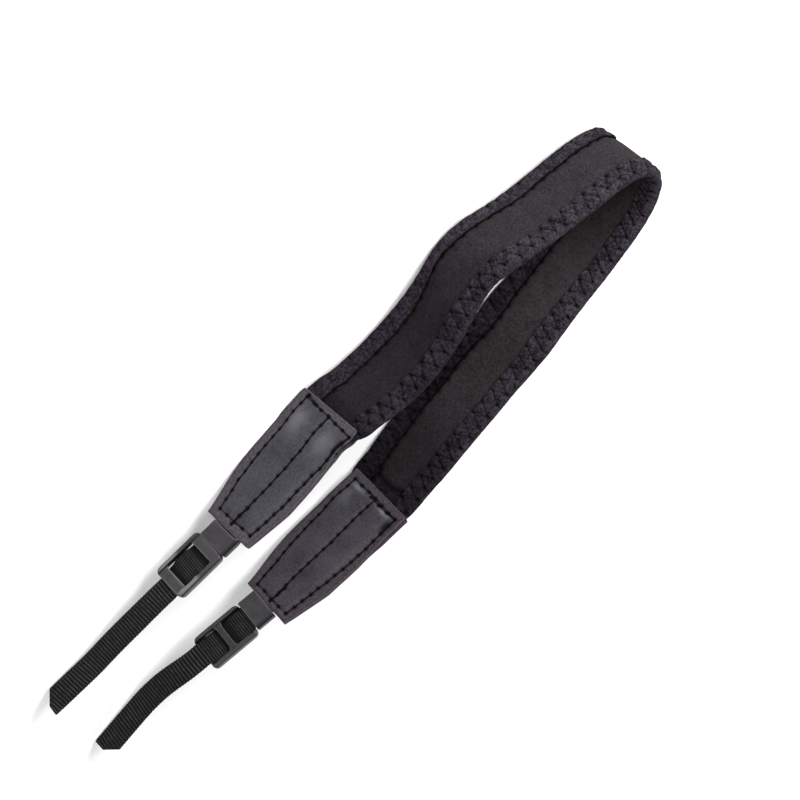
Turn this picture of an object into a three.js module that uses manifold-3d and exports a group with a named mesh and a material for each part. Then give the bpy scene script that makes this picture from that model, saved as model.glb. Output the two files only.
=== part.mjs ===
// Binocular strap: a padded neoprene neck band folded in a long U and standing on its edge,
// with a two-ply leather tab, a keeper sleeve, a three-bar slider and narrow webbing at each end.
// Millimetres, +Z up. The bight of the U is at -X, the tails run to +X, leg a is at -Y, leg b at +Y.
import * as THREE from "three";
import Module from "manifold-3d";

const DEG = Math.PI / 180;
const UP = new THREE.Vector3(0, 0, 1);

// Neck band: full width between the outer edges of the two edge tapes.
const BAND_WIDTH = 31.4;
const BAND_EDGE_HALF = 1.5; // half thickness inside the tapes
const BAND_FACE_HALF = 2.1; // half thickness of the padded face between the tapes
const TAPE_HALF = 2.25; // half thickness over the tapes
const TAPE_WALL = 0.6;
const TAPE_GAP = 0.15;
const TAPE_FACE = 7.5; // depth of a tape on a face
const TAPE_FACE_WIDE = 8.1; // the lower tape is wider on the outer face
const TAPE_ROUND = 1.3; // rounding of a tape's closed side
const BAND_CORNER = 0.5;
const FACE_EASE = 1.1; // length of the step from tape to padded face

// Route of the band's lower edge over the ground, from the end in tab a round to the end in tab b.
// length in mm, turn to the left in degrees, lean of the width away from the inside of the U
// at the end of the row in degrees. A row that doesn't turn is dead straight.
const ROUTE_START = { x: 152, y: -31.3, heading: 180.8, lean: -4.2 };
const ROUTE = [
  { name: "in tab a", length: 9, turn: 0, lean: -4.2 },
  { name: "leaves tab a", length: 9, turn: -22.8, lean: -4.2 },
  { name: "leg a swings in", length: 19.4, turn: 18, lean: -3.4 },
  { name: "leg a swings out", length: 21.4, turn: 16, lean: -1.7 },
  { name: "leg a straightens", length: 21.4, turn: -5, lean: -0.2 },
  { name: "leg a bends in", length: 21.4, turn: -30.5, lean: 0.4 },
  { name: "leg a far part", length: 21.4, turn: 5.6, lean: 0.6 },
  { name: "leg a nears bight", length: 19.4, turn: -2.6, lean: 0.6 },
  { name: "into bight", length: 13.6, turn: -27.2, lean: 0.6 },
  { name: "bight tip", length: 9.7, turn: -52.9, lean: 0.6 },
  { name: "bight back", length: 9, turn: -36.9, lean: 0.5 },
  { name: "bight opens", length: 9, turn: -18.8, lean: 0.6 },
  { name: "bight ends", length: 9, turn: -5.6, lean: 0.9 },
  { name: "leg b starts", length: 9.7, turn: -5.2, lean: 1.7 },
  { name: "leg b near bight", length: 13.6, turn: -15.1, lean: 3.9 },
  { name: "leg b far part", length: 19.4, turn: -2.5, lean: 7.7 },
  { name: "leg b bends out", length: 23.3, turn: 21.6, lean: 11.3 },
  { name: "leg b bends back", length: 24.3, turn: -18, lean: 11.4 },
  { name: "leg b straight", length: 24.3, turn: 5.7, lean: 9.2 },
  { name: "leg b nears tab", length: 17.5, turn: 1.9, lean: 8.2 },
  { name: "enters tab b", length: 9, turn: -16.6, lean: 8.2 },
  { name: "in tab b", length: 9, turn: 0, lean: 8.2 },
];
const IN_TAB = 9; // from the band's end to where its tab is set
// Heights of the band's two edges along it. It stands on a few points only and its cloth gives a
// little, and both its ends are gathered in between the plies.
const BAND_EDGES = [
  { at: 0, low: 0, high: 25 },
  { at: 9, low: 0.6, high: 32.1 },
  { at: 17, low: 2, high: 32.9 },
  { at: 27, low: 1, high: 32.7 },
  { at: 36, low: 0.5, high: 32.8 },
  { at: 48, low: 0.7, high: 32.7 },
  { at: 60, low: 1.2, high: 32.1 },
  { at: 69, low: 0.9, high: 31.1 },
  { at: 76, low: 0.2, high: 30.4 },
  { at: 83, low: 0.1, high: 30.4 },
  { at: 90, low: 0.6, high: 31.8 },
  { at: 97, low: 1.4, high: 32.6 },
  { at: 104, low: 1.9, high: 32.5 },
  { at: 114, low: 1.6, high: 32.4 },
  { at: 128, low: 1.2, high: 32.4 },
  { at: 146, low: 1.1, high: 32.4 },
  { at: 160, low: 0.6, high: 32.3 },
  { at: 190, low: 0.2, high: 32.3 },
  { at: 208, low: 0, high: 31.4 },
  { at: 219, low: 0, high: 31.7 },
  { at: 230, low: 0, high: 32.7 },
  { at: 239, low: 0, high: 33.7 },
  { at: 248, low: 0, high: 34.1 },
  { at: 257, low: 0, high: 33.2 },
  { at: 270, low: 0, high: 31.4 },
  { at: 283, low: 0, high: 31.6 },
  { at: 297, low: 0, high: 32.4 },
  { at: 311, low: 0.1, high: 32.8 },
  { at: 322, low: 0.5, high: 32.2 },
  { at: 332, low: 0.8, high: 32 },
  { at: 342.8, low: 6, high: 30.4 },
];
const SQUEEZE = 0.58; // share of its thickness that the band keeps between the plies
const SQUEEZE_EASE = 6; // length over which it is pressed down to that
const BAND_STATION_TURN = 8.5 * DEG; // most turn between two sections
const BAND_STATION_LENGTH = 11;

// Leather tabs: half width along the length, one row per third.
const TAB_LENGTH = 59.1;
const TAB_SIDES = [
  { at: 0, half: 14.3 },
  { at: 1 / 3, half: 14.7 },
  { at: 2 / 3, half: 14.6 },
  { at: 1, half: 11.2 },
];
const PLY = 1.1; // leather thickness
const TOP_GAP_HALF = 1.5; // room for the band between the plies
const MOUTH_GAP_HALF = 0.7; // room for the webbing
const SEAM_GAP_HALF = 0.15; // at the stitched sides
const TOP_FLAT = 10.5; // length that is held apart by the band
const TOP_EASE = 9; // length over which the plies come together
const SEAM_AT = 0.8; // side seams, as a share of the half width
const CHANNEL_AT = 0.6; // edge of the room for the webbing
const PUFF = 0.9; // rise of the leather between the seams
const PUFF_EASE_TOP = 7; // length over which it rises from the tab's top
const PUFF_EASE_MOUTH = 9; // and falls to its mouth
const TAB_STEPS = 12;
const TAB_CROSS = 10;
// Attitude of each tab in degrees (nose down, lean away from the inside of the U), the height
// of its middle over the middle of the band, and how far down from where it is set its top edge is.
const TABS = {
  a: { side: -1, pitch: -0.1, lean: -4.2, rise: -1, top: 1.1 },
  b: { side: 1, pitch: 0.1, lean: 8.2, rise: 1.8, top: -2.2 },
};

// Webbing: from inside each tab through its keeper and slider to the free end.
const WEB_HALF_WIDTH = 5;
const WEB_HALF = 0.5;
const WEB_CORNER = 0.25;
const WEB_IN_TAB = 22;
const WEB_NECK = 0.7; // between tab and keeper
const WEB_STATION = 4;
const WEB_STATION_SLIDER = 1.2;

const KEEPER = {
  length: 7.9,
  halfHeight: 6.9,
  half: 1.8,
  corner: 1.1,
  slotHalfHeight: 5.35,
  slotHalf: 0.95,
  slotCorner: 0.4,
};
const HARDWARE_GAP = 0.4; // between keeper and slider
const SLIDER = {
  length: 21.9,
  halfHeight: 7.7,
  half: 1.7,
  rail: 2.1,
  endBar: 4.5,
  midBar: 2.4,
  corner: 1.8,
  bevel: 0.5,
  slotCorner: 0.6,
  pocket: 0.1, // how far the thinning of a bar runs past it
  shelf: 0.55, // the bars' near faces, off the middle plane
};
const WEAVE = 0.3; // how far the webbing moves aside for a bar
const WEAVE_EASE = 4.5; // length over which it comes back to the middle

// Tails: length in mm, turn to the left, dip of the nose, and lean at the end of the row, in degrees.
const TAILS = {
  a: [
    { name: "in the fittings", length: 30.4, turn: 0, dip: 0, lean: -4.2 },
    { name: "leaves slider", length: 26.7, turn: 11.7, dip: 6.2, lean: -5.1 },
    { name: "turns back", length: 11.7, turn: -3.5, dip: -3.3, lean: -5.7 },
    { name: "levels out", length: 9.6, turn: -10.7, dip: -3.4, lean: -6.4 },
    { name: "free end", length: 17, turn: 0, dip: 0, lean: -6.4 },
  ],
  b: [
    { name: "in the fittings", length: 30.4, turn: 0, dip: 0, lean: 8.2 },
    { name: "leaves slider", length: 13.3, turn: 16.7, dip: 15, lean: 10.2 },
    { name: "turns down", length: 12.1, turn: 11.7, dip: -2.1, lean: 11.7 },
    { name: "levels out", length: 19.8, turn: -9.1, dip: -12.2, lean: 13.2 },
    { name: "free end", length: 14.7, turn: 0, dip: 0, lean: 13.2 },
  ],
};
const NECKS = {
  a: { turn: -1.2, dip: 4.3 },
  b: { turn: -0.1, dip: 3.2 },
};

const wasm = await Module();
wasm.setup();

// A smooth curve through rows of values: value(s), flat over the rows named as straight.
function smoothCurve(lengths, values, straight) {
  const knots = [0];
  lengths.forEach((l) => knots.push(knots[knots.length - 1] + l));
  const count = lengths.length;
  const rates = lengths.map((l, i) => (values[i + 1] - values[i]) / l);
  const slopes = values.map((v, i) => {
    if (i === 0) return rates[0];
    if (i === count) return rates[count - 1];
    const before = lengths[i - 1];
    const after = lengths[i];
    return (rates[i - 1] * after + rates[i] * before) / (before + after);
  });
  straight.forEach((flat, i) => {
    if (!flat) return;
    slopes[i] = 0;
    slopes[i + 1] = 0;
  });
  const value = (s) => {
    let i = 0;
    while (i < count - 1 && s > knots[i + 1]) i += 1;
    const l = lengths[i];
    const u = Math.min(1, Math.max(0, (s - knots[i]) / l));
    const u2 = u * u;
    const u3 = u2 * u;
    return (
      (2 * u3 - 3 * u2 + 1) * values[i] +
      (u3 - 2 * u2 + u) * l * slopes[i] +
      (3 * u2 - 2 * u3) * values[i + 1] +
      (u3 - u2) * l * slopes[i + 1]
    );
  };
  return { total: knots[count], value };
}

// 0 to 1, easing in and out.
function blend(u) {
  const c = Math.min(1, Math.max(0, u));
  return c * c * (3 - 2 * c);
}

function running(rows, key, start) {
  const values = [start];
  rows.forEach((r) => values.push(values[values.length - 1] + r[key]));
  return values;
}

// A path in space with a frame at every point. Local X runs along it, Y is level but for the lean,
// Z is the strap's width.
function makePath(rows, start) {
  const lengths = rows.map((r) => r.length);
  const straight = rows.map((r) => r.turn === 0 && (r.dip ?? 0) === 0);
  const heads = running(rows, "turn", start.heading);
  const dips = rows.some((r) => r.dip)
    ? running(rows, "dip", start.dip ?? 0)
    : lengths.concat(0).map(() => start.dip ?? 0);
  const leans = [start.lean].concat(rows.map((r) => r.lean));
  const heading = smoothCurve(lengths, heads, straight);
  const dip = smoothCurve(lengths, dips, straight);
  const lean = smoothCurve(lengths, leans, straight);
  const step = 0.25;
  const count = Math.ceil(heading.total / step);
  const points = [new THREE.Vector3(start.x, start.y, start.z ?? 0)];
  for (let i = 0; i < count; i += 1) {
    const l = heading.total / count;
    const s = (i + 0.5) * l;
    points.push(points[i].clone().addScaledVector(along(heading.value(s), dip.value(s)), l));
  }
  const at = (s) => {
    const f = (Math.min(heading.total, Math.max(0, s)) / heading.total) * count;
    const i = Math.min(count - 1, Math.floor(f));
    return points[i].clone().lerp(points[i + 1], f - i);
  };
  const frame = (s) => frameAt(at(s), heading.value(s), dip.value(s), start.side * lean.value(s));
  return { total: heading.total, heading: heading.value, dip: dip.value, at, frame };
}

function along(heading, dip) {
  const level = Math.cos(dip * DEG);
  return new THREE.Vector3(
    Math.cos(heading * DEG) * level,
    Math.sin(heading * DEG) * level,
    -Math.sin(dip * DEG),
  );
}

// Frame with X along, Z as near up as it can be and then leaned towards +Y by the angle.
function frameAt(origin, heading, dip, lean) {
  const x = along(heading, dip);
  const z = UP.clone().addScaledVector(x, -x.z).normalize();
  const y = new THREE.Vector3().crossVectors(z, x);
  const up = z.clone().multiplyScalar(Math.cos(lean * DEG)).addScaledVector(y, Math.sin(lean * DEG));
  const flank = new THREE.Vector3().crossVectors(up, x);
  return new THREE.Matrix4().makeBasis(x, flank, up).setPosition(origin);
}

// Section positions along a path: at every break, and closer together where it turns more.
function stations(breaks, heading, longest, mostTurn) {
  const marks = [breaks[0]];
  breaks.slice(1).forEach((end, k) => {
    const start = breaks[k];
    const samples = 60;
    const cost = [0];
    for (let i = 0; i < samples; i += 1) {
      const a = start + ((end - start) * i) / samples;
      const b = start + ((end - start) * (i + 1)) / samples;
      const turned = Math.abs(heading(b) - heading(a)) * DEG;
      cost.push(cost[i] + Math.max(turned / mostTurn, (b - a) / longest));
    }
    const pieces = Math.max(1, Math.ceil(cost[samples]));
    for (let j = 1; j < pieces; j += 1) {
      const wanted = (cost[samples] * j) / pieces;
      const i = cost.findIndex((c) => c >= wanted);
      marks.push(start + ((end - start) * i) / samples);
    }
    marks.push(end);
  });
  return marks;
}

// A section swept through stations: every vertex (a, b, s) is put where place() says.
function sweep(section, marks, place) {
  const shape = new THREE.Shape(section.map(([a, b]) => new THREE.Vector2(a, b)));
  const steps = marks.length - 1;
  const geometry = new THREE.ExtrudeGeometry(shape, { depth: steps, steps, bevelEnabled: false });
  const position = geometry.getAttribute("position");
  for (let i = 0; i < position.count; i += 1) {
    const s = marks[Math.round(position.getZ(i))];
    const p = place(position.getX(i), position.getY(i), s);
    position.setXYZ(i, p.x, p.y, p.z);
  }
  return geometry;
}

const band = makePath(ROUTE, { ...ROUTE_START, side: 1 });
const HELD = { a: IN_TAB - TABS.a.top, b: IN_TAB - TABS.b.top }; // band between each tab's plies
const bandMarks = stations(
  [
    0,
    HELD.a,
    HELD.a + SQUEEZE_EASE,
    band.total / 2,
    band.total - HELD.b - SQUEEZE_EASE,
    band.total - HELD.b,
    band.total,
  ],
  band.heading,
  BAND_STATION_LENGTH,
  BAND_STATION_TURN,
);

const edgeLengths = BAND_EDGES.slice(1).map((r, i) => r.at - BAND_EDGES[i].at);
const edgeLow = smoothCurve(edgeLengths, BAND_EDGES.map((r) => r.low), []).value;
const edgeHigh = smoothCurve(edgeLengths, BAND_EDGES.map((r) => r.high), []).value;

// (a, b) in the band's section: a towards the outside of the U, b from the lower edge up.
function placeInBand(a, b, s) {
  const free = Math.min(s - HELD.a, band.total - s - HELD.b);
  const squeeze = SQUEEZE + (1 - SQUEEZE) * blend(free / SQUEEZE_EASE);
  const height = edgeLow(s) + (b / BAND_WIDTH) * (edgeHigh(s) - edgeLow(s));
  return new THREE.Vector3(0, a * squeeze, height).applyMatrix4(band.frame(s));
}

const edge = TAPE_WALL + TAPE_GAP;
const BAND_SECTION = [
  [BAND_EDGE_HALF, edge + BAND_CORNER],
  [BAND_EDGE_HALF, TAPE_FACE_WIDE + TAPE_GAP],
  [BAND_FACE_HALF, TAPE_FACE_WIDE + FACE_EASE],
  [BAND_FACE_HALF, BAND_WIDTH - TAPE_FACE - FACE_EASE],
  [BAND_EDGE_HALF, BAND_WIDTH - TAPE_FACE - TAPE_GAP],
  [BAND_EDGE_HALF, BAND_WIDTH - edge - BAND_CORNER],
  [BAND_EDGE_HALF - BAND_CORNER, BAND_WIDTH - edge],
  [-BAND_EDGE_HALF + BAND_CORNER, BAND_WIDTH - edge],
  [-BAND_EDGE_HALF, BAND_WIDTH - edge - BAND_CORNER],
  [-BAND_EDGE_HALF, BAND_WIDTH - TAPE_FACE - TAPE_GAP],
  [-BAND_FACE_HALF, BAND_WIDTH - TAPE_FACE - FACE_EASE],
  [-BAND_FACE_HALF, TAPE_FACE + FACE_EASE],
  [-BAND_EDGE_HALF, TAPE_FACE + TAPE_GAP],
  [-BAND_EDGE_HALF, edge + BAND_CORNER],
  [-BAND_EDGE_HALF + BAND_CORNER, edge],
  [BAND_EDGE_HALF - BAND_CORNER, edge],
];

// C section of an edge tape, with its rounded closed side at b = 0.
function tapeSection(outerDepth, innerDepth) {
  const wall = TAPE_HALF - TAPE_WALL;
  const inner = TAPE_WALL + BAND_CORNER;
  const halfWay = TAPE_ROUND * (1 - Math.SQRT1_2);
  return [
    [TAPE_HALF, TAPE_ROUND],
    [TAPE_HALF, outerDepth],
    [wall, outerDepth],
    [wall, inner],
    [wall - BAND_CORNER, TAPE_WALL],
    [-wall + BAND_CORNER, TAPE_WALL],
    [-wall, inner],
    [-wall, innerDepth],
    [-TAPE_HALF, innerDepth],
    [-TAPE_HALF, TAPE_ROUND],
    [-TAPE_HALF + halfWay, halfWay],
    [-TAPE_HALF + TAPE_ROUND, 0],
    [TAPE_HALF - TAPE_ROUND, 0],
    [TAPE_HALF - halfWay, halfWay],
  ];
}
const lowerTape = tapeSection(TAPE_FACE_WIDE, TAPE_FACE);
const upperTape = tapeSection(TAPE_FACE, TAPE_FACE).map(([a, b]) => [a, BAND_WIDTH - b]);

const materials = {
  neoprene: { color: 0x3a3634, roughness: 0.95 },
  tape: { color: 0x34303c, roughness: 0.9 },
  leather: { color: 0x4b4b52, roughness: 0.5 },
  plastic: { color: 0x3b3a3d, roughness: 0.35 },
  webbing: { color: 0x34312f, roughness: 0.85 },
};

const strap = new THREE.Group();

function add(name, geometry, look) {
  const material = new THREE.MeshStandardMaterial({ ...materials[look], metalness: 0 });
  const mesh = new THREE.Mesh(geometry, material);
  mesh.name = name;
  strap.add(mesh);
}

add("neoprene_band", sweep(BAND_SECTION, bandMarks, placeInBand), "neoprene");
add("binding_lower", sweep(lowerTape, bandMarks, placeInBand), "tape");
add("binding_upper", sweep(upperTape, bandMarks, placeInBand), "tape");

const tabHalf = smoothCurve(
  TAB_SIDES.slice(1).map((r, i) => r.at - TAB_SIDES[i].at),
  TAB_SIDES.map((r) => r.half),
  [],
).value;

// Inner face of a ply, off the tab's middle plane: t from the top, w from side to side in -1..1.
function plyGap(t, w) {
  const closed = blend((t - TOP_FLAT) / TOP_EASE);
  const aside = blend((Math.abs(w) - CHANNEL_AT) / (SEAM_AT - CHANNEL_AT));
  const below = MOUTH_GAP_HALF + (SEAM_GAP_HALF - MOUTH_GAP_HALF) * aside;
  return TOP_GAP_HALF + (below - TOP_GAP_HALF) * closed;
}

function plyPuff(t, w, top) {
  if (Math.abs(w) >= SEAM_AT) return 0;
  const ends = blend((t - top) / PUFF_EASE_TOP) * blend((TAB_LENGTH - t) / PUFF_EASE_MOUTH);
  return PUFF * ends * Math.sin((Math.abs(w) / SEAM_AT) * Math.PI);
}

function ply(frame, face, top) {
  const geometry = new THREE.BoxGeometry(1, 1, 1, TAB_STEPS, 1, TAB_CROSS);
  const position = geometry.getAttribute("position");
  for (let i = 0; i < position.count; i += 1) {
    const u = position.getX(i) + 0.5;
    const w = position.getZ(i) * 2;
    const outer = (position.getY(i) > 0) === (face > 0);
    const t = top + u * (TAB_LENGTH - top);
    const off = plyGap(t, w) + (outer ? PLY + plyPuff(t, w, top) : 0);
    const half = tabHalf(Math.max(0, t / TAB_LENGTH));
    const p = new THREE.Vector3(t, face * off, w * half).applyMatrix4(frame);
    position.setXYZ(i, p.x, p.y, p.z);
  }
  return geometry;
}

// A rounded rectangle from x0, y0 to x1, y1, added to a Shape or to the Path of a hole.
function roundedRectangle(target, x0, x1, y0, y1, r) {
  target.moveTo(x0 + r, y0);
  target.lineTo(x1 - r, y0);
  target.absarc(x1 - r, y0 + r, r, -Math.PI / 2, 0, false);
  target.lineTo(x1, y1 - r);
  target.absarc(x1 - r, y1 - r, r, 0, Math.PI / 2, false);
  target.lineTo(x0 + r, y1);
  target.absarc(x0 + r, y1 - r, r, Math.PI / 2, Math.PI, false);
  target.lineTo(x0, y0 + r);
  target.absarc(x0 + r, y0 + r, r, Math.PI, Math.PI * 1.5, false);
  return target;
}

// Keeper sleeve: a rounded ring drawn across the strap and run along it.
function keeper(frame) {
  const k = KEEPER;
  const shape = new THREE.Shape();
  roundedRectangle(shape, -k.half, k.half, -k.halfHeight, k.halfHeight, k.corner);
  const slot = new THREE.Path();
  roundedRectangle(slot, -k.slotHalf, k.slotHalf, -k.slotHalfHeight, k.slotHalfHeight, k.slotCorner);
  shape.holes.push(slot);
  const geometry = new THREE.ExtrudeGeometry(shape, {
    depth: k.length,
    steps: 1,
    bevelEnabled: false,
    curveSegments: 4,
  });
  // shape x -> local Y, shape y -> local Z, depth -> local X
  const turn = new THREE.Matrix4().makeBasis(
    new THREE.Vector3(0, 1, 0),
    new THREE.Vector3(0, 0, 1),
    new THREE.Vector3(1, 0, 0),
  );
  return geometry.applyMatrix4(turn).applyMatrix4(frame);
}

function solidFrom(geometry) {
  const position = geometry.getAttribute("position");
  const vertices = new Float32Array(position.array);
  const count = position.count;
  const index = geometry.index ? geometry.index.array : [...Array(count).keys()];
  const mesh = new wasm.Mesh({
    numProp: 3,
    vertProperties: vertices,
    triVerts: new Uint32Array(index),
  });
  mesh.merge();
  return new wasm.Manifold(mesh);
}

function geometryFrom(solid) {
  const mesh = solid.getMesh();
  const geometry = new THREE.BufferGeometry();
  const flat = [];
  for (let i = 0; i < mesh.numVert; i += 1) {
    flat.push(...mesh.vertProperties.subarray(i * mesh.numProp, i * mesh.numProp + 3));
  }
  geometry.setAttribute("position", new THREE.Float32BufferAttribute(flat, 3));
  geometry.setIndex([...mesh.triVerts]);
  return geometry;
}

function block(x0, x1, y0, y1, z0, z1) {
  return wasm.Manifold.cube([x1 - x0, y1 - y0, z1 - z0]).translate([x0, y0, z0]);
}

// Slider: a rounded plate with two slots, its bars thinned from opposite faces.
// Drawn in (X, Z), thickness along Y. The end bars lie towards local Y = -face.
function slider(frame, face) {
  const s = SLIDER;
  const inner = s.halfHeight - s.rail;
  const slots = [
    [s.endBar, (s.length - s.midBar) / 2],
    [(s.length + s.midBar) / 2, s.length - s.endBar],
  ];
  const shape = new THREE.Shape();
  const b = s.bevel;
  roundedRectangle(shape, b, s.length - b, -s.halfHeight + b, s.halfHeight - b, s.corner - b);
  slots.forEach(([x0, x1]) => {
    const hole = new THREE.Path();
    roundedRectangle(hole, x0 - b, x1 + b, -inner - b, inner + b, s.slotCorner + b);
    shape.holes.push(hole);
  });
  const geometry = new THREE.ExtrudeGeometry(shape, {
    depth: 2 * (s.half - b),
    steps: 1,
    bevelEnabled: true,
    bevelSize: b,
    bevelThickness: b,
    bevelSegments: 2,
    curveSegments: 3,
  });
  geometry.translate(0, 0, b - s.half);
  geometry.rotateX(Math.PI / 2);
  const far = s.half + 1; // clear of the plate
  const near = [s.endBar + s.pocket, s.length - s.endBar - s.pocket];
  const side = (x0, x1, sign) =>
    sign > 0
      ? block(x0, x1, -s.shelf, far, -inner, inner)
      : block(x0, x1, -far, s.shelf, -inner, inner);
  const solid = solidFrom(geometry)
    .subtract(side(-1, near[0], face))
    .subtract(side(near[1], s.length + 1, face))
    .subtract(side(near[0], near[1], -face));
  return geometryFrom(solid).applyMatrix4(frame);
}

const WEB_SECTION = [
  [WEB_HALF, -WEB_HALF_WIDTH + WEB_CORNER],
  [WEB_HALF, WEB_HALF_WIDTH - WEB_CORNER],
  [WEB_HALF - WEB_CORNER, WEB_HALF_WIDTH],
  [-WEB_HALF + WEB_CORNER, WEB_HALF_WIDTH],
  [-WEB_HALF, WEB_HALF_WIDTH - WEB_CORNER],
  [-WEB_HALF, -WEB_HALF_WIDTH + WEB_CORNER],
  [-WEB_HALF + WEB_CORNER, -WEB_HALF_WIDTH],
  [WEB_HALF - WEB_CORNER, -WEB_HALF_WIDTH],
];

for (const [end, tab] of Object.entries(TABS)) {
  const first = end === "a";
  const edgeAt = first ? IN_TAB : band.total - IN_TAB;
  const heading = first ? band.heading(0) - 180 : band.heading(band.total);
  const bandFrame = band.frame(edgeAt);
  const top = new THREE.Vector3(0, 0, BAND_WIDTH / 2 + tab.rise).applyMatrix4(bandFrame);
  const tabFrame = frameAt(top, heading, tab.pitch, tab.side * tab.lean);
  add("tab_" + end + "_front", ply(tabFrame, -1, tab.top), "leather");
  add("tab_" + end + "_back", ply(tabFrame, 1, tab.top), "leather");

  const inTab = TAB_LENGTH - WEB_IN_TAB;
  const start = new THREE.Vector3(inTab, 0, 0).applyMatrix4(tabFrame);
  const rows = [
    { name: "in tab", length: WEB_IN_TAB, turn: 0, dip: 0, lean: tab.lean },
    { name: "neck", length: WEB_NECK, ...NECKS[end], lean: tab.lean },
    ...TAILS[end],
  ];
  const path = makePath(rows, {
    x: start.x,
    y: start.y,
    z: start.z,
    heading,
    dip: tab.pitch,
    lean: tab.lean,
    side: tab.side,
  });
  const keeperAt = WEB_IN_TAB + WEB_NECK;
  const sliderAt = keeperAt + KEEPER.length + HARDWARE_GAP;
  add("keeper_" + end, keeper(path.frame(keeperAt)), "plastic");
  add("slider_" + end, slider(path.frame(sliderAt), -tab.side), "plastic");

  // Sideways wave of the webbing round the three bars.
  const centre = sliderAt + SLIDER.length / 2;
  const weave = (s) => {
    const from = Math.abs(s - centre);
    const reach = SLIDER.length / 2;
    const slot = reach - SLIDER.midBar / 2 - SLIDER.endBar;
    const turnOver = blend((from - SLIDER.midBar / 2) / slot);
    const fade = 1 - blend((from - reach) / WEAVE_EASE);
    return -tab.side * WEAVE * (2 * turnOver - 1) * fade;
  };
  const held = [keeperAt - WEB_NECK, keeperAt];
  const waved = [];
  const wavedTo = sliderAt + SLIDER.length + WEAVE_EASE;
  for (let s = sliderAt - 0.5; s < wavedTo; s += WEB_STATION_SLIDER) waved.push(s);
  const marks = stations(
    [0, ...held, ...waved, path.total],
    path.heading,
    WEB_STATION,
    BAND_STATION_TURN,
  );
  const place = (a, b, s) => new THREE.Vector3(0, weave(s) + a, b).applyMatrix4(path.frame(s));
  add("webbing_" + end, sweep(WEB_SECTION, marks, place), "webbing");
}

// The part's frame: middle of its box in X and Y, lowest point at Z = 0.
const box = new THREE.Box3().setFromObject(strap);
const middle = box.getCenter(new THREE.Vector3());
strap.position.set(-middle.x, -middle.y, -box.min.z);

export default strap;
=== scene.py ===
"""Looks of a binocular strap: a neoprene neck band with sewn knit edges, leather end tabs,
keeper sleeves, three-bar sliders and ribbed webbing tails. Lengths are in mm until they meet a mesh."""

import math

import bpy
import numpy as np
from mathutils import Matrix, Vector


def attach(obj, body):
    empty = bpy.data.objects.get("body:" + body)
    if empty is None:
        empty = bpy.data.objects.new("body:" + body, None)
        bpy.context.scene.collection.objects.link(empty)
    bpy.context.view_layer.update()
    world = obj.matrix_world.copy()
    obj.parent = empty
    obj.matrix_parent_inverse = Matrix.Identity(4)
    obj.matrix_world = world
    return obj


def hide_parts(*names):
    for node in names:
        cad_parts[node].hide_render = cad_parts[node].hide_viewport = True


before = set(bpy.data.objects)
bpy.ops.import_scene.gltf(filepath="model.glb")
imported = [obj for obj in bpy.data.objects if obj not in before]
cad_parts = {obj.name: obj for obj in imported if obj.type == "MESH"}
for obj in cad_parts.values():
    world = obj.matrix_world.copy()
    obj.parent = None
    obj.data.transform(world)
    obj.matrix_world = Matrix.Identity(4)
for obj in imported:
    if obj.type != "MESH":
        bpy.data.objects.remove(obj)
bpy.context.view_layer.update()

MM = 0.001
SHIFT = np.array([-152.1977, -0.7931, 0.2322])  # from the route tables' frame to the strap's

# ---------------------------------------------------------------- camera and light

CAMERA_AT = np.array([-49.63, -644.23, 421.83])
CAMERA_HEADING = math.radians(87.943)
CAMERA_DOWN = math.radians(32.347)
CAMERA_ROLL = math.radians(133.111)
LENS, SENSOR = 90.663, 36


def place_camera():
    """The camera looks along its heading, down by its angle, and is rolled about that line."""
    h, d, r = CAMERA_HEADING, CAMERA_DOWN, CAMERA_ROLL
    ahead = Vector((math.cos(h) * math.cos(d), math.sin(h) * math.cos(d), -math.sin(d)))
    level = Vector((math.sin(h), -math.cos(h), 0))
    above = Vector((math.cos(h) * math.sin(d), math.sin(h) * math.sin(d), math.cos(d)))
    right = level * math.cos(r) + above * math.sin(r)
    up = above * math.cos(r) - level * math.sin(r)
    data = bpy.data.cameras.new("camera")
    data.lens = LENS
    data.sensor_width = SENSOR
    camera = bpy.data.objects.new("camera", data)
    turn = Matrix((right, up, -ahead)).transposed().to_4x4()
    camera.matrix_world = Matrix.Translation(Vector(CAMERA_AT * MM)) @ turn
    bpy.context.scene.collection.objects.link(camera)
    bpy.context.scene.camera = camera


LIGHTS = (
    # name, power in W, side in m, place in m
    ("left_softbox", 12.5, 0.45, (-0.66, -0.36, 0.42)),
    ("right_softbox", 8.0, 0.8, (1.05, -0.80, 0.85)),
    ("back_softbox", 8.0, 1.2, (0.1, 1.25, 0.8)),
    ("front_softbox", 8.0, 0.9, (0.0, -1.35, 0.6)),
)
WORLD_LIGHT = 0.4
FLOOR_SIDE = 6.0


def light_studio():
    """Large soft boxes aimed at the strap's middle, and a pale even surround."""
    for name, power, side, place in LIGHTS:
        data = bpy.data.lights.new(name, "AREA")
        data.energy = power
        data.size = side
        lamp = bpy.data.objects.new(name, data)
        lamp.location = place
        lamp.rotation_euler = (-Vector(place)).to_track_quat("-Z", "Y").to_euler()
        bpy.context.scene.collection.objects.link(lamp)
    world = bpy.data.worlds.new("studio")
    world.use_nodes = True
    world.node_tree.nodes["Background"].inputs["Color"].default_value = (1, 1, 1, 1)
    world.node_tree.nodes["Background"].inputs["Strength"].default_value = WORLD_LIGHT
    bpy.context.scene.world = world
    bpy.context.scene.view_settings.view_transform = "Standard"


# ---------------------------------------------------------------- routes

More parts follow.
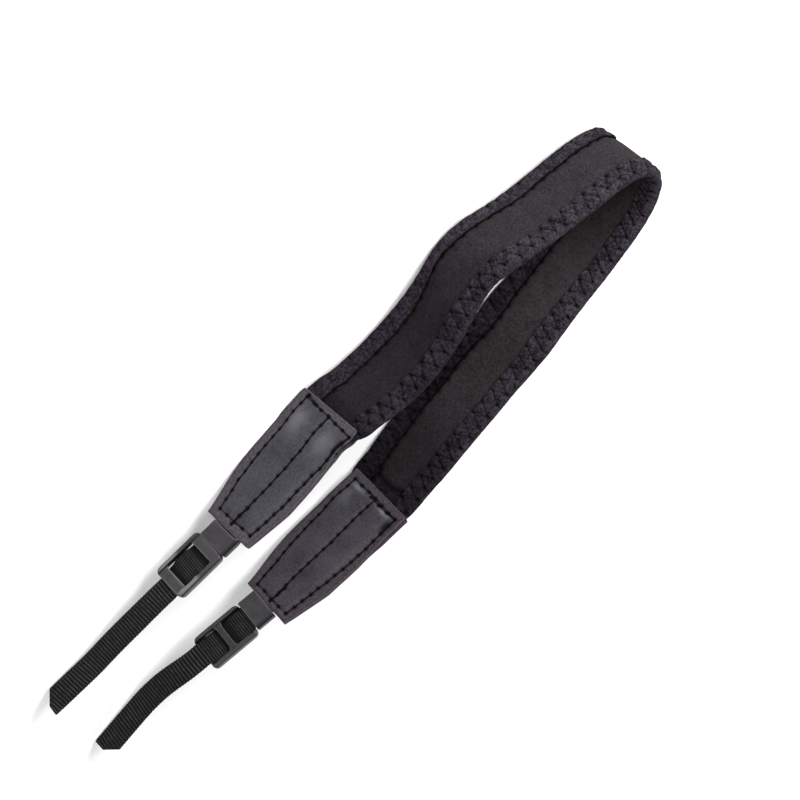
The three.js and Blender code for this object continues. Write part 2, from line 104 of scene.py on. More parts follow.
# Rows: length, turn to the left, dip of the nose, lean at the row's end (degrees).
BAND_ROWS = (
    (9, 0, 0, -4.2), (9, -22.8, 0, -4.2), (19.4, 18, 0, -3.4), (21.4, 16, 0, -1.7),
    (21.4, -5, 0, -0.2), (21.4, -30.5, 0, 0.4), (21.4, 5.6, 0, 0.6), (19.4, -2.6, 0, 0.6),
    (13.6, -27.2, 0, 0.6), (9.7, -52.9, 0, 0.6), (9, -36.9, 0, 0.5), (9, -18.8, 0, 0.6),
    (9, -5.6, 0, 0.9), (9.7, -5.2, 0, 1.7), (13.6, -15.1, 0, 3.9), (19.4, -2.5, 0, 7.7),
    (23.3, 21.6, 0, 11.3), (24.3, -18, 0, 11.4), (24.3, 5.7, 0, 9.2), (17.5, 1.9, 0, 8.2),
    (9, -16.6, 0, 8.2), (9, 0, 0, 8.2),
)
BAND_START = {"at": (152, -31.3, 0), "heading": 180.8, "dip": 0, "lean": -4.2, "side": 1}
# Each end's webbing, from inside its tab to its free end.
TAILS = {
    "a": (
        (22, 0, 0, -4.2), (0.7, -1.2, 4.3, -4.2), (30.4, 0, 0, -4.2), (26.7, 11.7, 6.2, -5.1),
        (11.7, -3.5, -3.3, -5.7), (9.6, -10.7, -3.4, -6.4), (17, 0, 0, -6.4),
    ),
    "b": (
        (22, 0, 0, 8.2), (0.7, -0.1, 3.2, 8.2), (30.4, 0, 0, 8.2), (13.3, 16.7, 15, 10.2),
        (12.1, 11.7, -2.1, 11.7), (19.8, -9.1, -12.2, 13.2), (14.7, 0, 0, 13.2),
    ),
}
# How each tab lies: the side that it leans to, its dip and lean in degrees, and how far its
# middle is above the band's.
TABS = {
    "a": {"side": -1, "pitch": -0.1, "lean": -4.2, "rise": -1},
    "b": {"side": 1, "pitch": 0.1, "lean": 8.2, "rise": 1.8},
}


def ease(u):
    """0 to 1 in and out: 3u^2 - 2u^3, held at its ends."""
    u = np.clip(u, 0, 1)
    return u * u * (3 - 2 * u)


def smooth_curve(lengths, values, straight):
    """A cubic through the values at the rows' ends, its slope there the mean of its neighbours'
    weighted by the other's length, and level at both ends of a straight row."""
    lengths, values = np.asarray(lengths, float), np.asarray(values, float)
    ends = np.cumsum(lengths)
    rates = np.diff(values) / lengths
    before, after = lengths[:-1], lengths[1:]
    inner = (rates[:-1] * after + rates[1:] * before) / (before + after)
    slopes = np.concatenate([rates[:1], inner, rates[-1:]])
    for row in np.flatnonzero(straight):
        slopes[row : row + 2] = 0

    def value(s):
        row = np.clip(np.searchsorted(ends, s), 0, len(lengths) - 1)
        length = lengths[row]
        u = np.clip((s - ends[row] + length) / length, 0, 1)
        rise = 3 * u**2 - 2 * u**3
        return (
            values[row] * (1 - rise)
            + values[row + 1] * rise
            + length * slopes[row] * (u**3 - 2 * u**2 + u)
            + length * slopes[row + 1] * (u**3 - u**2)
        )

    return value


def smooth_columns(table):
    """A smooth curve over the first column of a table for each of its other columns."""
    places, *columns = np.array(table, float).T
    return [smooth_curve(np.diff(places), column, np.zeros(len(column) - 1)) for column in columns]


def direction(heading, dip):
    """Unit vector with that heading round Z and its nose down by dip, in degrees."""
    h, d = np.radians(heading), np.radians(dip)
    return np.stack([np.cos(h) * np.cos(d), np.sin(h) * np.cos(d), -np.sin(d)], -1)


class Route:
    """A line in space that turns, dips and leans as its rows say. Its frame has X along it, Z as
    near up as X allows and then leaned towards Y, and Y on the flank."""

    STEP = 0.25

    def __init__(self, rows, at, heading, dip, lean, side):
        length, turn, nose, leans = np.array(rows, float).T
        straight = (turn == 0) & (nose == 0)
        self.total = length.sum()
        self.side = side
        self.heading = smooth_curve(length, heading + np.append(0, np.cumsum(turn)), straight)
        self.dip = smooth_curve(length, dip + np.append(0, np.cumsum(nose)), straight)
        self.lean = smooth_curve(length, np.append(lean, leans), straight)
        count = math.ceil(self.total / self.STEP)
        middle = (np.arange(count) + 0.5) * self.total / count
        steps = direction(self.heading(middle), self.dip(middle)) * self.total / count
        self.points = np.asarray(at, float) + np.vstack([np.zeros(3), np.cumsum(steps, 0)])
        self.marks = np.linspace(0, self.total, count + 1)

    def frame(self, s):
        """Origin, X, Y and Z at s along it. Past its ends it goes straight on."""
        s = np.asarray(s, float)
        origin = np.stack([np.interp(s, self.marks, self.points[:, i]) for i in range(3)], -1)
        x = direction(self.heading(s), self.dip(s))
        origin = origin + x * (s - np.clip(s, 0, self.total))[..., None]
        z = np.array([0, 0, 1.0]) - x * x[..., 2:]
        z /= np.linalg.norm(z, axis=-1, keepdims=True)
        y = np.cross(z, x)
        tilt = np.radians(self.side * self.lean(s))[..., None]
        up = z * np.cos(tilt) + y * np.sin(tilt)
        return origin, x, np.cross(up, x), up

    def flank(self, s):
        """Which way the flank faces at s."""
        return self.frame(s)[2]

    def lay(self, s, a, b):
        """Points a off the route's flank and b above it, at s along it, in the strap's frame."""
        s, a, b = np.broadcast_arrays(s, a, b)
        origin, _, flank, up = self.frame(s)
        return origin + flank * a[..., None] + up * b[..., None] + SHIFT


BAND_WIDTH = 31.4
IN_TAB = 9.0  # how far in from the band's ends the middles of the tabs' tops are
HELD_A, HELD_B = 7.9, 11.2  # lengths of the band between the tabs' plies
# Heights of the band's two edges along it: place along, lower edge, upper edge.
BAND_EDGES = (
    (0, 0, 25), (9, 0.6, 32.1), (17, 2, 32.9), (27, 1, 32.7), (36, 0.5, 32.8), (48, 0.7, 32.7),
    (60, 1.2, 32.1), (69, 0.9, 31.1), (76, 0.2, 30.4), (83, 0.1, 30.4), (90, 0.6, 31.8),
    (97, 1.4, 32.6), (104, 1.9, 32.5), (114, 1.6, 32.4), (128, 1.2, 32.4), (146, 1.1, 32.4),
    (160, 0.6, 32.3), (190, 0.2, 32.3), (208, 0, 31.4), (219, 0, 31.7), (230, 0, 32.7),
    (239, 0, 33.7), (248, 0, 34.1), (257, 0, 33.2), (270, 0, 31.4), (283, 0, 31.6),
    (297, 0, 32.4), (311, 0.1, 32.8), (322, 0.5, 32.2), (332, 0.8, 32), (342.8, 6, 30.4),
)
SQUEEZE, SQUEEZE_EASE = 0.58, 6.0  # share of its thickness there, and the run into it
band_route = Route(BAND_ROWS, **BAND_START)
edge_low, edge_high = smooth_columns(BAND_EDGES)


def lay_on_band(s, a, b):
    """Points a outwards from the band's middle and b above its lower edge: the height is spread
    between the two edges' own, and the thickness is pressed down between the tab's plies."""
    s, a, b = np.broadcast_arrays(s, a, b)
    free = np.minimum(s - HELD_A, band_route.total - s - HELD_B)
    pressed = SQUEEZE + (1 - SQUEEZE) * ease(free / SQUEEZE_EASE)
    low, high = edge_low(s), edge_high(s)
    return band_route.lay(s, a * pressed, low + b / BAND_WIDTH * (high - low))


def height_of(edge, d):
    """Height on the band at a depth d from its lower or its upper edge."""
    return d if edge == "lower" else BAND_WIDTH - d


def bell(x, wide):
    """exp(-(x / wide)^2)."""
    return np.exp(-((x / wide) ** 2))


# ---------------------------------------------------------------- meshes


def run_round(x, y):
    """How far each point of an outline or a row is along it."""
    return np.append(0, np.cumsum(np.hypot(np.diff(x), np.diff(y))))


def soft_noise(x, y, seed):
    """Smooth random relief from -1 to 1: a table of seeded values, eased between its points."""
    table = np.random.default_rng(seed).uniform(-1, 1, (211, 97))
    x, y = np.broadcast_arrays(x, y)
    i, j = np.floor(x).astype(int), np.floor(y).astype(int)
    u, v = ease(x - i), ease(y - j)
    corner = [[table[(i + m) % 211, (j + n) % 97] for n in (0, 1)] for m in (0, 1)]
    low = corner[0][0] * (1 - v) + corner[0][1] * v
    high = corner[1][0] * (1 - v) + corner[1][1] * v
    return low * (1 - u) + high * u


def piece(name, sheets, material, *, uv=None, marks=None, sharp=38, node=None):
    """A mesh piece from closed grids. Each sheet is (points, closed_along): points[i, j] runs i
    along it and j round it, neighbours make quads, and an open sheet gets a face at each end.
    A sheet that comes out inside out by its signed volume is turned."""
    corners, loops, starts, totals, base = [], [], [], [], 0
    for points, closed in sheets:
        n, m, _ = points.shape
        rows = n if closed else n - 1
        i, j = np.meshgrid(np.arange(rows), np.arange(m), indexing="ij")
        quads = np.stack(
            [i * m + j, i * m + (j + 1) % m, (i + 1) % n * m + (j + 1) % m, (i + 1) % n * m + j], -1
        ).reshape(-1, 4)
        flat = points.reshape(-1, 3)
        a, b, c, d = (flat[quads[:, k]] for k in range(4))
        volume = np.einsum("ij,ij->", a - flat[0], np.cross(b - flat[0], c - flat[0]))
        volume += np.einsum("ij,ij->", a - flat[0], np.cross(c - flat[0], d - flat[0]))
        ends = [] if closed else [np.arange(m)[::-1], (n - 1) * m + np.arange(m)]
        if volume < 0:
            quads, ends = quads[:, ::-1], [e[::-1] for e in ends]
        corners.append(flat)
        for group in [quads] + [e[None] for e in ends]:
            starts.append(np.arange(len(group)) * group.shape[1] + sum(map(len, loops)))
            totals.append(np.full(len(group), group.shape[1]))
            loops.append((group + base).ravel())
        base += n * m
    corners, loops = np.concatenate(corners), np.concatenate(loops)
    mesh = bpy.data.meshes.new(name)
    mesh.vertices.add(len(corners))
    mesh.vertices.foreach_set("co", (corners * MM).astype(np.float32).ravel())
    mesh.loops.add(len(loops))
    mesh.loops.foreach_set("vertex_index", loops.astype(np.int32))
    starts, totals = np.concatenate(starts), np.concatenate(totals)
    mesh.polygons.add(len(starts))
    mesh.polygons.foreach_set("loop_start", starts.astype(np.int32))
    mesh.polygons.foreach_set("loop_total", totals.astype(np.int32))
    mesh.update(calc_edges=True)
    if uv is not None:
        lay = np.concatenate([np.stack(np.broadcast_arrays(*u), -1).reshape(-1, 2) for u in uv])
        layer = mesh.uv_layers.new(name="lay")
        layer.data.foreach_set("uv", lay[loops].astype(np.float32).ravel())
    for key, values in (marks or {}).items():
        attribute = mesh.attributes.new(key, "FLOAT", "POINT")
        attribute.data.foreach_set("value", np.concatenate([v.ravel() for v in values]))
    mesh.shade_smooth()
    mesh.set_sharp_from_angle(angle=math.radians(sharp))
    mesh.validate()
    mesh.materials.append(material)
    made = bpy.data.objects.new(name, mesh)
    bpy.context.scene.collection.objects.link(made)
    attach(made, "root")
    if node:
        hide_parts(*node)
    return made


def tubes(line, normal, radius, sides=6):
    """Rounds of a thread: for lines (k, n, 3) with a normal each, a ring of that radius in the
    plane across the line at every point. Gives one sheet for each line."""
    tangent = np.gradient(line, axis=1)
    tangent /= np.linalg.norm(tangent, axis=-1, keepdims=True)
    across = np.cross(tangent, normal)
    across /= np.linalg.norm(across, axis=-1, keepdims=True)
    out = np.cross(across, tangent)
    angle = np.arange(sides) * 2 * math.pi / sides
    radius = np.broadcast_to(radius, line.shape[:2])[..., None, None]
    ring = across[:, :, None] * np.cos(angle)[:, None] + out[:, :, None] * np.sin(angle)[:, None]
    rings = line[:, :, None] + ring * radius
    return [(r, False) for r in rings]


def stitches(start, end, normal, radius, lift, steps=7):
    """Stitches between pairs of needle holes: each runs straight, lifted in the middle by
    lift * (1 - |2u-1|^4), and thins to its ends like a capsule."""
    u = np.linspace(0, 1, steps)
    arch = lift * (1 - np.abs(2 * u - 1) ** 4)
    line = start[:, None] + (end - start)[:, None] * u[:, None] + normal[:, None] * arch[:, None]
    thin = np.sqrt(np.clip(1 - np.abs(2 * u - 1) ** 5, 0.04, 1))
    across = np.broadcast_to(normal[:, None], line.shape)
    return tubes(line, across, radius * thin)


def stitch_row(holes, normal, radius, lift):
    """One stitch from each needle hole of a row to the next."""
    return stitches(holes[:-1], holes[1:], normal[:-1], radius, lift)


def locks(holes, normal, radius, half):
    """The thread's turn at each needle hole: a short fat stitch along its row, sunk in the hole."""
    along = np.gradient(holes, axis=0)
    along *= half / np.linalg.norm(along, axis=1, keepdims=True)
    return stitches(holes - along, holes + along, normal, radius, 0.0, 5)


# ---------------------------------------------------------------- materials

# Darkest and lightest fibres, and the same lighter where painted light falls on the band.
NEOPRENE = (
    (0.0045, 0.0036, 0.0043), (0.0158, 0.0128, 0.0150),
    (0.0102, 0.0083, 0.0093), (0.0352, 0.0305, 0.0336),
)
BINDING = (
    (0.0016, 0.0011, 0.0019), (0.0300, 0.0243, 0.0338),
    (0.0027, 0.0019, 0.0032), (0.0500, 0.0418, 0.0540),
)
THREAD_BLACK = (0.0014, 0.0012, 0.0016)
# Darkest and lightest grain between the seams, the same on the margin, and the painted highlight.
LEATHER = ((0.0095, 0.0091, 0.0112), (0.0262, 0.0254, 0.0302))
LEATHER_MARGIN = ((0.0140, 0.0120, 0.0138), (0.0385, 0.0340, 0.0390))
LEATHER_PAINTED_HIGHLIGHT = (0.066, 0.067, 0.080)
PLASTIC = ((0.0130, 0.0117, 0.0132), (0.0310, 0.0284, 0.0311))
# pale colour of the painted gloss on edges, rims and rails
PLASTIC_PAINTED_GLOSS = (0.150, 0.143, 0.153)
# Grooves, flanks and crowns of the ribs: painted shade in the grooves, painted highlight on the crowns.
WEBBING_RIB_SHADING = ((0.0010, 0.0008, 0.0011), (0.0125, 0.0112, 0.0116), (0.0420, 0.0390, 0.0380))
DEEP_SHADE = (0.0010, 0.0008, 0.0011)
FLOOR = ((0.85, 0.85, 0.85), (0.87, 0.87, 0.87))
WHITE, BLACK = (1, 1, 1), (0, 0, 0)


class Finish:
    """A material of one Principled surface. What is even all over is set on the surface's own
    sockets, and the rest comes from nodes. A method that makes a node gives its output."""

    def __init__(self, name, colour, roughness, specular=0.5):
        self.material = bpy.data.materials.new(name)
        self.material.use_nodes = True
        self.nodes = self.material.node_tree.nodes
        self.surface = self.nodes["Principled BSDF"]
        self.feed(self.surface, Base_Color=colour, Roughness=roughness, Specular_IOR_Level=specular)

    def join(self, value, socket):
        """Link an output to a socket, or set the socket to an even value or colour."""
        if isinstance(value, bpy.types.NodeSocket):
            self.material.node_tree.links.new(value, socket)
        else:
            socket.default_value = (*value, 1) if socket.type == "RGBA" else value

    def feed(self, node, **values):
        """Join values to a node's sockets by their names."""
        for name, value in values.items():
            self.join(value, node.inputs[name.replace("_", " ")])

    def node(self, kind, **values):
        """A new node, fed with its values."""
        made = self.nodes.new("ShaderNode" + kind)
        self.feed(made, **values)
        return made

    def place(self):
        """A point's place in the strap's frame, in metres."""
        found = self.nodes.get("place") or self.node("TexCoord")
        found.name = "place"
        return found.outputs["Object"]

    def lay(self):
        """A point's place on the cloth laid flat, in metres: along it and across it."""
        made = self.node("UVMap")
        made.uv_map = "lay"
        return made.outputs["UV"]

    def attribute(self, name):
        """What the mesh says at a point under that name."""
        made = self.node("Attribute")
        made.attribute_name = name
        return made.outputs["Fac"]

    def noise(self, scale, detail, rough=0.5, stretch=None):
        """Noise from 0 to 1 with its features about 1/scale wide, or on the cloth laid flat with
        that many to a metre along it and across it."""
        if stretch:
            where = self.node("Mapping", Vector=self.lay(), Scale=(*stretch, 1)).outputs["Vector"]
        else:
            where = self.place()
        made = self.node("TexNoise", Vector=where, Scale=scale, Detail=detail, Roughness=rough)
        return made.outputs["Fac"]

    def waves(self, where, per_metre, axis, distort=0.0):
        """Even waves along an axis, per_metre of them in a metre."""
        made = self.node(
            "TexWave", Vector=where, Scale=per_metre * math.pi / 10, Distortion=distort,
            Detail=1.0, Detail_Scale=1.5,
        )
        made.bands_direction = axis
        made.wave_profile = "SIN"
        return made.outputs["Fac"]

    def cells(self, scale):
        """Distance to the edge of cells about 1/scale wide."""
        made = self.node("TexVoronoi", Vector=self.place(), Scale=scale)
        made.feature = "DISTANCE_TO_EDGE"
        return made.outputs["Distance"]

    def maths(self, operation, *values):
        """One operation on numbers and outputs."""
        made = self.node("Math")
        made.operation = operation
        for socket, value in zip(made.inputs, values):
            self.join(value, socket)
        return made.outputs["Value"]

    def total(self, *terms, level=0.0):
        """level plus each term, which is an output and what it is multiplied by."""
        for output, share in terms:
            level = self.maths("MULTIPLY_ADD", output, share, level)
        return level

    def ramp(self, fac, *stops):
        """Colour over a value: stops are (place, colour)."""
        made = self.node("ValToRGB", Fac=fac)
        elements = made.color_ramp.elements
        while len(elements) < len(stops):
            elements.new(0.5)
        for element, (place, colour) in zip(elements, stops):
            element.position = place
            element.color = (*colour, 1)
        return made.outputs["Color"]

    def mix(self, fac, first, second):
        """From the first colour to the second as fac goes from 0 to 1."""
        made = self.node("Mix")
        made.data_type = "RGBA"
        self.feed(made, Factor=fac)
        colours = [socket for socket in made.inputs if socket.type == "RGBA"]
        for socket, value in zip(colours, (first, second)):
            self.join(value, socket)
        return next(socket for socket in made.outputs if socket.type == "RGBA")

    def relief(self, *bumps):
        """Bumps one over the other, each a value, its height in metres and its strength."""
        normal = None
        for value, distance, strength in bumps:
            made = self.node("Bump", Height=value, Distance=distance, Strength=strength)
            if normal is not None:
                self.feed(made, Normal=normal)
            normal = made.outputs["Normal"]
        return normal

    def done(self, colour, *bumps, **sockets):
        """The finished material: that colour, darkened to near black as painted shade where the mesh's
        deep mark is high, and the bumps.
        """
        colour = self.mix(self.attribute("deep"), colour, DEEP_SHADE)
        self.feed(self.surface, Base_Color=colour, Normal=self.relief(*bumps), **sockets)
        return self.material


def knit_fuzz(cloth, tones, pitch, nap_size, spread, fluff):
    """Knit: rows of loops along and across the cloth under a nap of that size and contrast, lighter
    where the mesh carries painted light. Gives its colour and its two bumps."""
    lay = cloth.lay()
    along, across = cloth.waves(lay, 1000 / pitch, "X", 0.6), cloth.waves(lay, 1150 / pitch, "Y", 0.6)
    loops = cloth.maths("MULTIPLY", along, across)
    nap = cloth.noise(1 / nap_size, 3, 0.75)
    tone = cloth.total((nap, 0.75), (cloth.noise(170, 3, 0.6), 0.25), (loops, 0.06))
    middle = 0.53  # about half of the nap is darker than this
    dark, light = middle - spread, middle + spread
    flat = cloth.ramp(tone, (dark, tones[0]), (light, tones[1]))
    painted_light = cloth.ramp(tone, (dark, tones[2]), (light, tones[3]))
    # painted light: lighter tones where the mesh's painted light mark is high
    colour = cloth.mix(cloth.attribute("painted_light"), flat, painted_light)
    return colour, (loops, 0.00005, 0.5), (nap, 0.00025, fluff)


def neoprene_finish():
    """Knit jersey over foam, and gathered edge cloth past the end seam."""
    cloth = Finish("neoprene_jersey", NEOPRENE[1], 0.9, 0.04)
    colour, *bumps = knit_fuzz(cloth, NEOPRENE, pitch=0.40, nap_size=0.0009, spread=0.18, fluff=0.25)
    gathers = cloth.ramp(cloth.noise(800, 3, 0.75), (0.34, BINDING[0]), (0.76, NEOPRENE[1]))
    return cloth.done(cloth.mix(cloth.attribute("edge_cloth"), colour, gathers), *bumps)


def binding_finish():
    """Coarser knit with a deeper pile."""
    cloth = Finish("binding_knit", BINDING[1], 0.9, 0.04)
    return cloth.done(*knit_fuzz(cloth, BINDING, pitch=0.55, nap_size=0.0010, spread=0.14, fluff=0.8))


def thread_finish():
    """Even black thread with its twist as a fine bump."""
    sewing = Finish("sewing_thread", THREAD_BLACK, 0.85, 0.05)
    twist = sewing.waves(sewing.place(), 3200, "DIAGONAL")
    sewing.feed(sewing.surface, Normal=sewing.relief((twist, 0.00004, 0.6)))
    return sewing.material


def leather_finish(name, level, margin_level, tint):
    """Grained black leather, level times as light, margin_level on its margin, and tinted: glossier
    between the seams, greyer and rougher on the flat margin and the cut edge, with painted shade in
    holes, stitched grooves and the corner fold, and a painted highlight over the band's end."""
    hide = Finish(name, (0.012, 0.012, 0.015), 0.5, 0.15)
    cloud, fine = hide.noise(90, 4, 0.6), hide.noise(1300, 3)
    margin, deep = hide.attribute("margin"), hide.attribute("deep")

    def tinted(share, colours):
        return [tuple(share * t * c for t, c in zip(tint, colour)) for colour in colours]

    (dark, light), (rim_dark, rim_light) = tinted(level, LEATHER), tinted(margin_level, LEATHER_MARGIN)
    skin = hide.ramp(hide.total((cloud, 0.5), (fine, 0.5)), (0.35, dark), (0.65, light))
    # painted sheen: the painted highlight, broken up by the cloud
    painted_sheen = hide.maths("MULTIPLY", hide.attribute("painted_highlight"), cloud)
    skin = hide.mix(painted_sheen, skin, tuple(level * c for c in LEATHER_PAINTED_HIGHLIGHT))
    colour = hide.mix(margin, skin, hide.ramp(fine, (0.3, rim_dark), (0.7, rim_light)))
    grain = hide.ramp(hide.cells(1500), (0.0, BLACK), (0.28, WHITE))
    return hide.done(
        colour, (grain, 0.00005, 0.5), (hide.noise(420, 3), 0.0003, 0.35),
        Roughness=hide.total((cloud, 0.2), (margin, 0.16), (deep, 0.4), level=0.34),
    )


def plastic_finish():
    """Satin black plastic with a fine moulded grain, with painted highlights along its edges, rims and
    rails, and painted shade of near black in thin lines along its steps and corners."""
    moulded = Finish("moulded_plastic", (0.010, 0.0095, 0.0105), 0.4, 0.24)
    cloud, fine = moulded.noise(300, 4, 0.6), moulded.noise(1700, 3)
    tone = moulded.total((cloud, 0.5), (fine, 0.5))
    colour = moulded.ramp(tone, (0.36, PLASTIC[0]), (0.66, PLASTIC[1]))
    colour = moulded.mix(moulded.attribute("painted_gloss"), colour, PLASTIC_PAINTED_GLOSS)
    # painted shadow: a thin near black line at the sliders' rail steps and below the keepers' top
    # corners
    off_shade_line = moulded.maths("ABSOLUTE", moulded.attribute("off_shade_line"))
    step = moulded.ramp(off_shade_line, (0.28, WHITE), (0.5, BLACK))
    return moulded.done(
        moulded.mix(step, colour, DEEP_SHADE),
        (fine, 0.00004, 0.6), (moulded.noise(500, 2), 0.00015, 0.2),
        Roughness=moulded.total((cloud, 0.24), level=0.30),
    )


def webbing_finish():
    """Ribbed weave: painted highlights on the crowns and painted shade of near black in the grooves,
    set by the ribs' own height, and painted shade where it dives behind a bar."""
    weave = Finish("ribbed_webbing", (0.010, 0.0095, 0.0095), 0.8, 0.12)
    yarn = weave.waves(weave.lay(), 3600, "Y", 0.3)
    fibre = weave.noise(1, 3, stretch=(5200, 900))
    yarns = weave.total((yarn, 0.2), level=0.8)
    tone = weave.total((weave.attribute("rib_height"), yarns), (fibre, 0.16))
    groove, flank, crown = WEBBING_RIB_SHADING
    colour = weave.ramp(tone, (0.42, groove), (0.78, flank), (1.0, crown))
    return weave.done(colour, (yarn, 0.00006, 0.6), (fibre, 0.00005, 0.5))


def floor_finish():
    """Nearly even pale grey."""
    paper = Finish("pale_floor", (0.86, 0.86, 0.86), 0.9)
    paper.feed(paper.surface, Base_Color=paper.ramp(paper.noise(6, 2), (0.2, FLOOR[0]), (0.8, FLOOR[1])))
    return paper.material


# ---------------------------------------------------------------- seams of the band

HEM = 2.0  # radius of the rolled edge, which is half its thickness
HEM_ROW = 2.2  # depth of the outer needle row from the edge
PAST_ROW = 0.25  # edge cloth beyond a seam's inner needle row
PAST_ZIGZAG = 0.45  # and beyond a zigzag's: at the needle points, and that again between them
LINING, LINING_EDGE = 1.25, 0.7  # the edge cloth's inner face, and how near the edge it comes
FACE = 2.1  # half thickness of the neoprene between the seams
HIDDEN = 1.15  # and under the edge cloth
CORE_EDGE = 1.5  # how far the neoprene's edges stay inside the band's

# Each seam by its edge and its face: how strong its straight line and its zigzag are, its needle
# pitch, first needle and seed, how much painted shade lies on its cloth (place along, share), on
# leg b's inner face mostly the painted shadow of the other leg, the depth of its inner row from the
# edge (place along, depth), and how strong the zigzag's way back is.
SEAMS = {
    "lower_outer": {
        "line": 1.0, "zigzag": 0.25, "pitch": 5.4, "start": 2.2, "seed": 3,
        "shade": ((100, 0), (108, 0.14), (128, 0.12), (142, 0.05)),
        "depth": ((10, 8.6), (17, 8.65), (30, 7.8), (46, 8.25), (61, 8.0), (71, 6.4), (77, 6.0),
                  (83, 6.65), (91, 6.6), (95, 7.0), (104, 6.85), (113, 7.6), (120, 7.3), (130, 7.2)),
    },
    "lower_inner": {
        "line": 0.6, "zigzag": 0.7, "pitch": 5.4, "start": 0.9, "seed": 5,
        "shade": ((205, 0.2), (216, 0.2), (226, 0.4), (236, 0.5), (248, 0.5), (256, 0.3),
                  (264, 0.6), (275, 0.75), (290, 0.78), (300, 0.62), (312, 0.52), (330, 0.72)),
        "depth": ((200, 6.6), (215, 5.8), (221, 6.7), (227, 7.0), (232, 7.6), (238, 8.2),
                  (244, 8.6), (252, 8.9), (258, 8.4), (262, 7.5), (268, 6.8), (274, 6.5),
                  (285, 7.3), (295, 7.8), (308, 8.7), (320, 9.0), (326, 9.9), (330, 10.0)),
    },
    "upper_outer": {
        "line": 0.0, "zigzag": 1.0, "pitch": 5.5, "start": 5.0, "seed": 7,
        "shade": ((15, 0.3), (30, 0.12), (60, 0.05), (88, 0.14), (108, 0)),
        "depth": ((10, 6.9), (50, 6.9), (60, 8.3), (66, 8.3), (76, 6.9), (83, 6.9), (90, 8.0),
                  (100, 6.4), (120, 7.1), (150, 7.1)),
    },
    "upper_inner": {
        "line": 0.0, "zigzag": 1.0, "pitch": 5.45, "start": 0.7, "seed": 11, "back": 0.35,
        "shade": ((250, 0), (285, 0.08), (296, 0.25), (306, 0.42), (325, 0.38)),
        "depth": ((200, 7.0), (240, 7.5), (246, 7.7), (254, 7.2), (343, 7.0)),
    },
}


class Seam:
    """Two rows of needle points a little unevenly spaced: the inner at the seam's depth, the hem
    row half a pitch on, with the thread going from one to the other and along the inner row."""

    def __init__(self, line, zigzag, pitch, start, seed, shade, depth, back=1.0):
        spread = np.random.default_rng(seed)
        self.line, self.zigzag, self.pitch, self.back = line, zigzag, pitch, back
        self.loose = 0.0 if line else 1.0  # the edge cloth is held flat only by a straight line
        self.depths, self.shades = np.array(depth, float).T, np.array(shade, float).T
        count = int((band_route.total - start) / pitch)
        self.s = start + pitch * (np.arange(count) + spread.uniform(-0.07, 0.07, count))
        self.d = self.depth(self.s) + spread.uniform(-0.28, 0.28, count)
        self.hem_s = self.s + pitch * (0.5 + spread.uniform(-0.08, 0.08, count))
        self.hem_d = HEM_ROW + spread.uniform(-0.3, 0.5, count)
        self.path_s = np.stack([self.s, self.hem_s], -1).ravel()
        self.path_d = np.stack([self.d, self.hem_d], -1).ravel()

    def depth(self, s):
        """Depth of the inner needle row from the edge."""
        return np.interp(s, *self.depths)

    def reach(self, s):
        """Where the edge cloth ends: it bulges past the inner row between the needle points."""
        between = np.interp(s, self.s, np.arange(len(self.s)))
        bulge = PAST_ZIGZAG * (1 + np.abs(np.sin(math.pi * between)))
        return self.depth(s) + PAST_ROW + self.loose * bulge

    def needle(self, s, d, wide, hem=False):
        """1 at a needle point of the row, falling to 0 over about wide."""
        at, deep = (self.hem_s, self.hem_d) if hem else (self.s, self.d)
        k = np.clip(np.searchsorted(at, s), 1, len(at) - 1)
        pull = [np.exp(-((s - at[i]) ** 2 + (d - deep[i]) ** 2) / wide**2) for i in (k - 1, k)]
        return np.maximum(*pull)

    def relief(self, s, d):
        """Height of the sewn edge cloth over its plain level and its painted shade: down and shaded in
        grooves under the thread and at the needle points, up in puffs between them, and shaded in the
        hollows between the puffs, past the seam and where the seam's table lays painted shade."""
        step, rise = self.pitch / 2, self.depth(s) - HEM_ROW
        off = np.abs(d - np.interp(s, self.path_s, self.path_d)) * step / np.hypot(step, rise)
        line = self.line * bell(d - np.interp(s, self.s, self.d), 0.32)
        past = ease((d - self.reach(s) + 0.35) / 0.35)
        sewn = ease((d - HEM_ROW + 1.3) / 1.3) * (1 - past)
        lumps = 0.25 * soft_noise(s / 1.5, d / 1.9, 21) + 0.10 * soft_noise(s / 0.75, d / 0.8, 22)
        size = 0.52 + 0.24 * soft_noise(s / 2.7, d / 3.0, 23)
        share = np.where(np.searchsorted(self.path_s, s) % 2, 1, self.back)
        zigzag = (0.25 + 0.5 * self.zigzag) * bell(off, 0.55) * share
        puff = (size * (1 - zigzag) + lumps) * sewn
        holes = (0.4 + 0.6 * self.back) * self.needle(s, d, 0.55)
        holes = holes + (0.5 + 0.5 * self.zigzag) * self.needle(s, d, 0.5, True)
        wide = self.needle(s, d, 1.3) + self.zigzag * self.needle(s, d, 1.2, True)
        height = puff - 0.5 * line - 0.55 * holes - 0.15 * wide - 0.6 * past
        # painted shade: near black in grooves and holes, darker in the hollows between puffs
        deep = 1.05 * holes + 1.9 * line + 0.8 * np.clip(0.50 - puff, 0, 1) * sewn
        # painted shade: darker past the seam and where the seam's table says
        deep += 0.5 * past * self.loose + np.interp(s, *self.shades)
        return height + 0.05 * soft_noise(s / 1.1, d / 0.9, 25), np.clip(deep, 0, 1)


seams = {name: Seam(**row) for name, row in SEAMS.items()}

# Painted light along the band, from 0 to 1, standing in for the light that falls most strongly
# towards the loop: places along the band, and the share there.
PAINTED_LIGHT_ALONG = ((62, 88, 160, 205, 250, 285, 305), (0.0, 0.6, 0.75, 1.0, 0.95, 0.6, 0.15))

# Heights of the end seam that closes the neoprene in front of tab b, on the inner face.
END_SEAM = (10.3, 14.4, 18.5, 22.7, 26.8)


def end_seam_at(b):
    """Place along the band where the end seam crosses height b: a shallow bow."""
    return 325.7 + 2.1 * (1 - ((b - 15.5) / 8.5) ** 2)


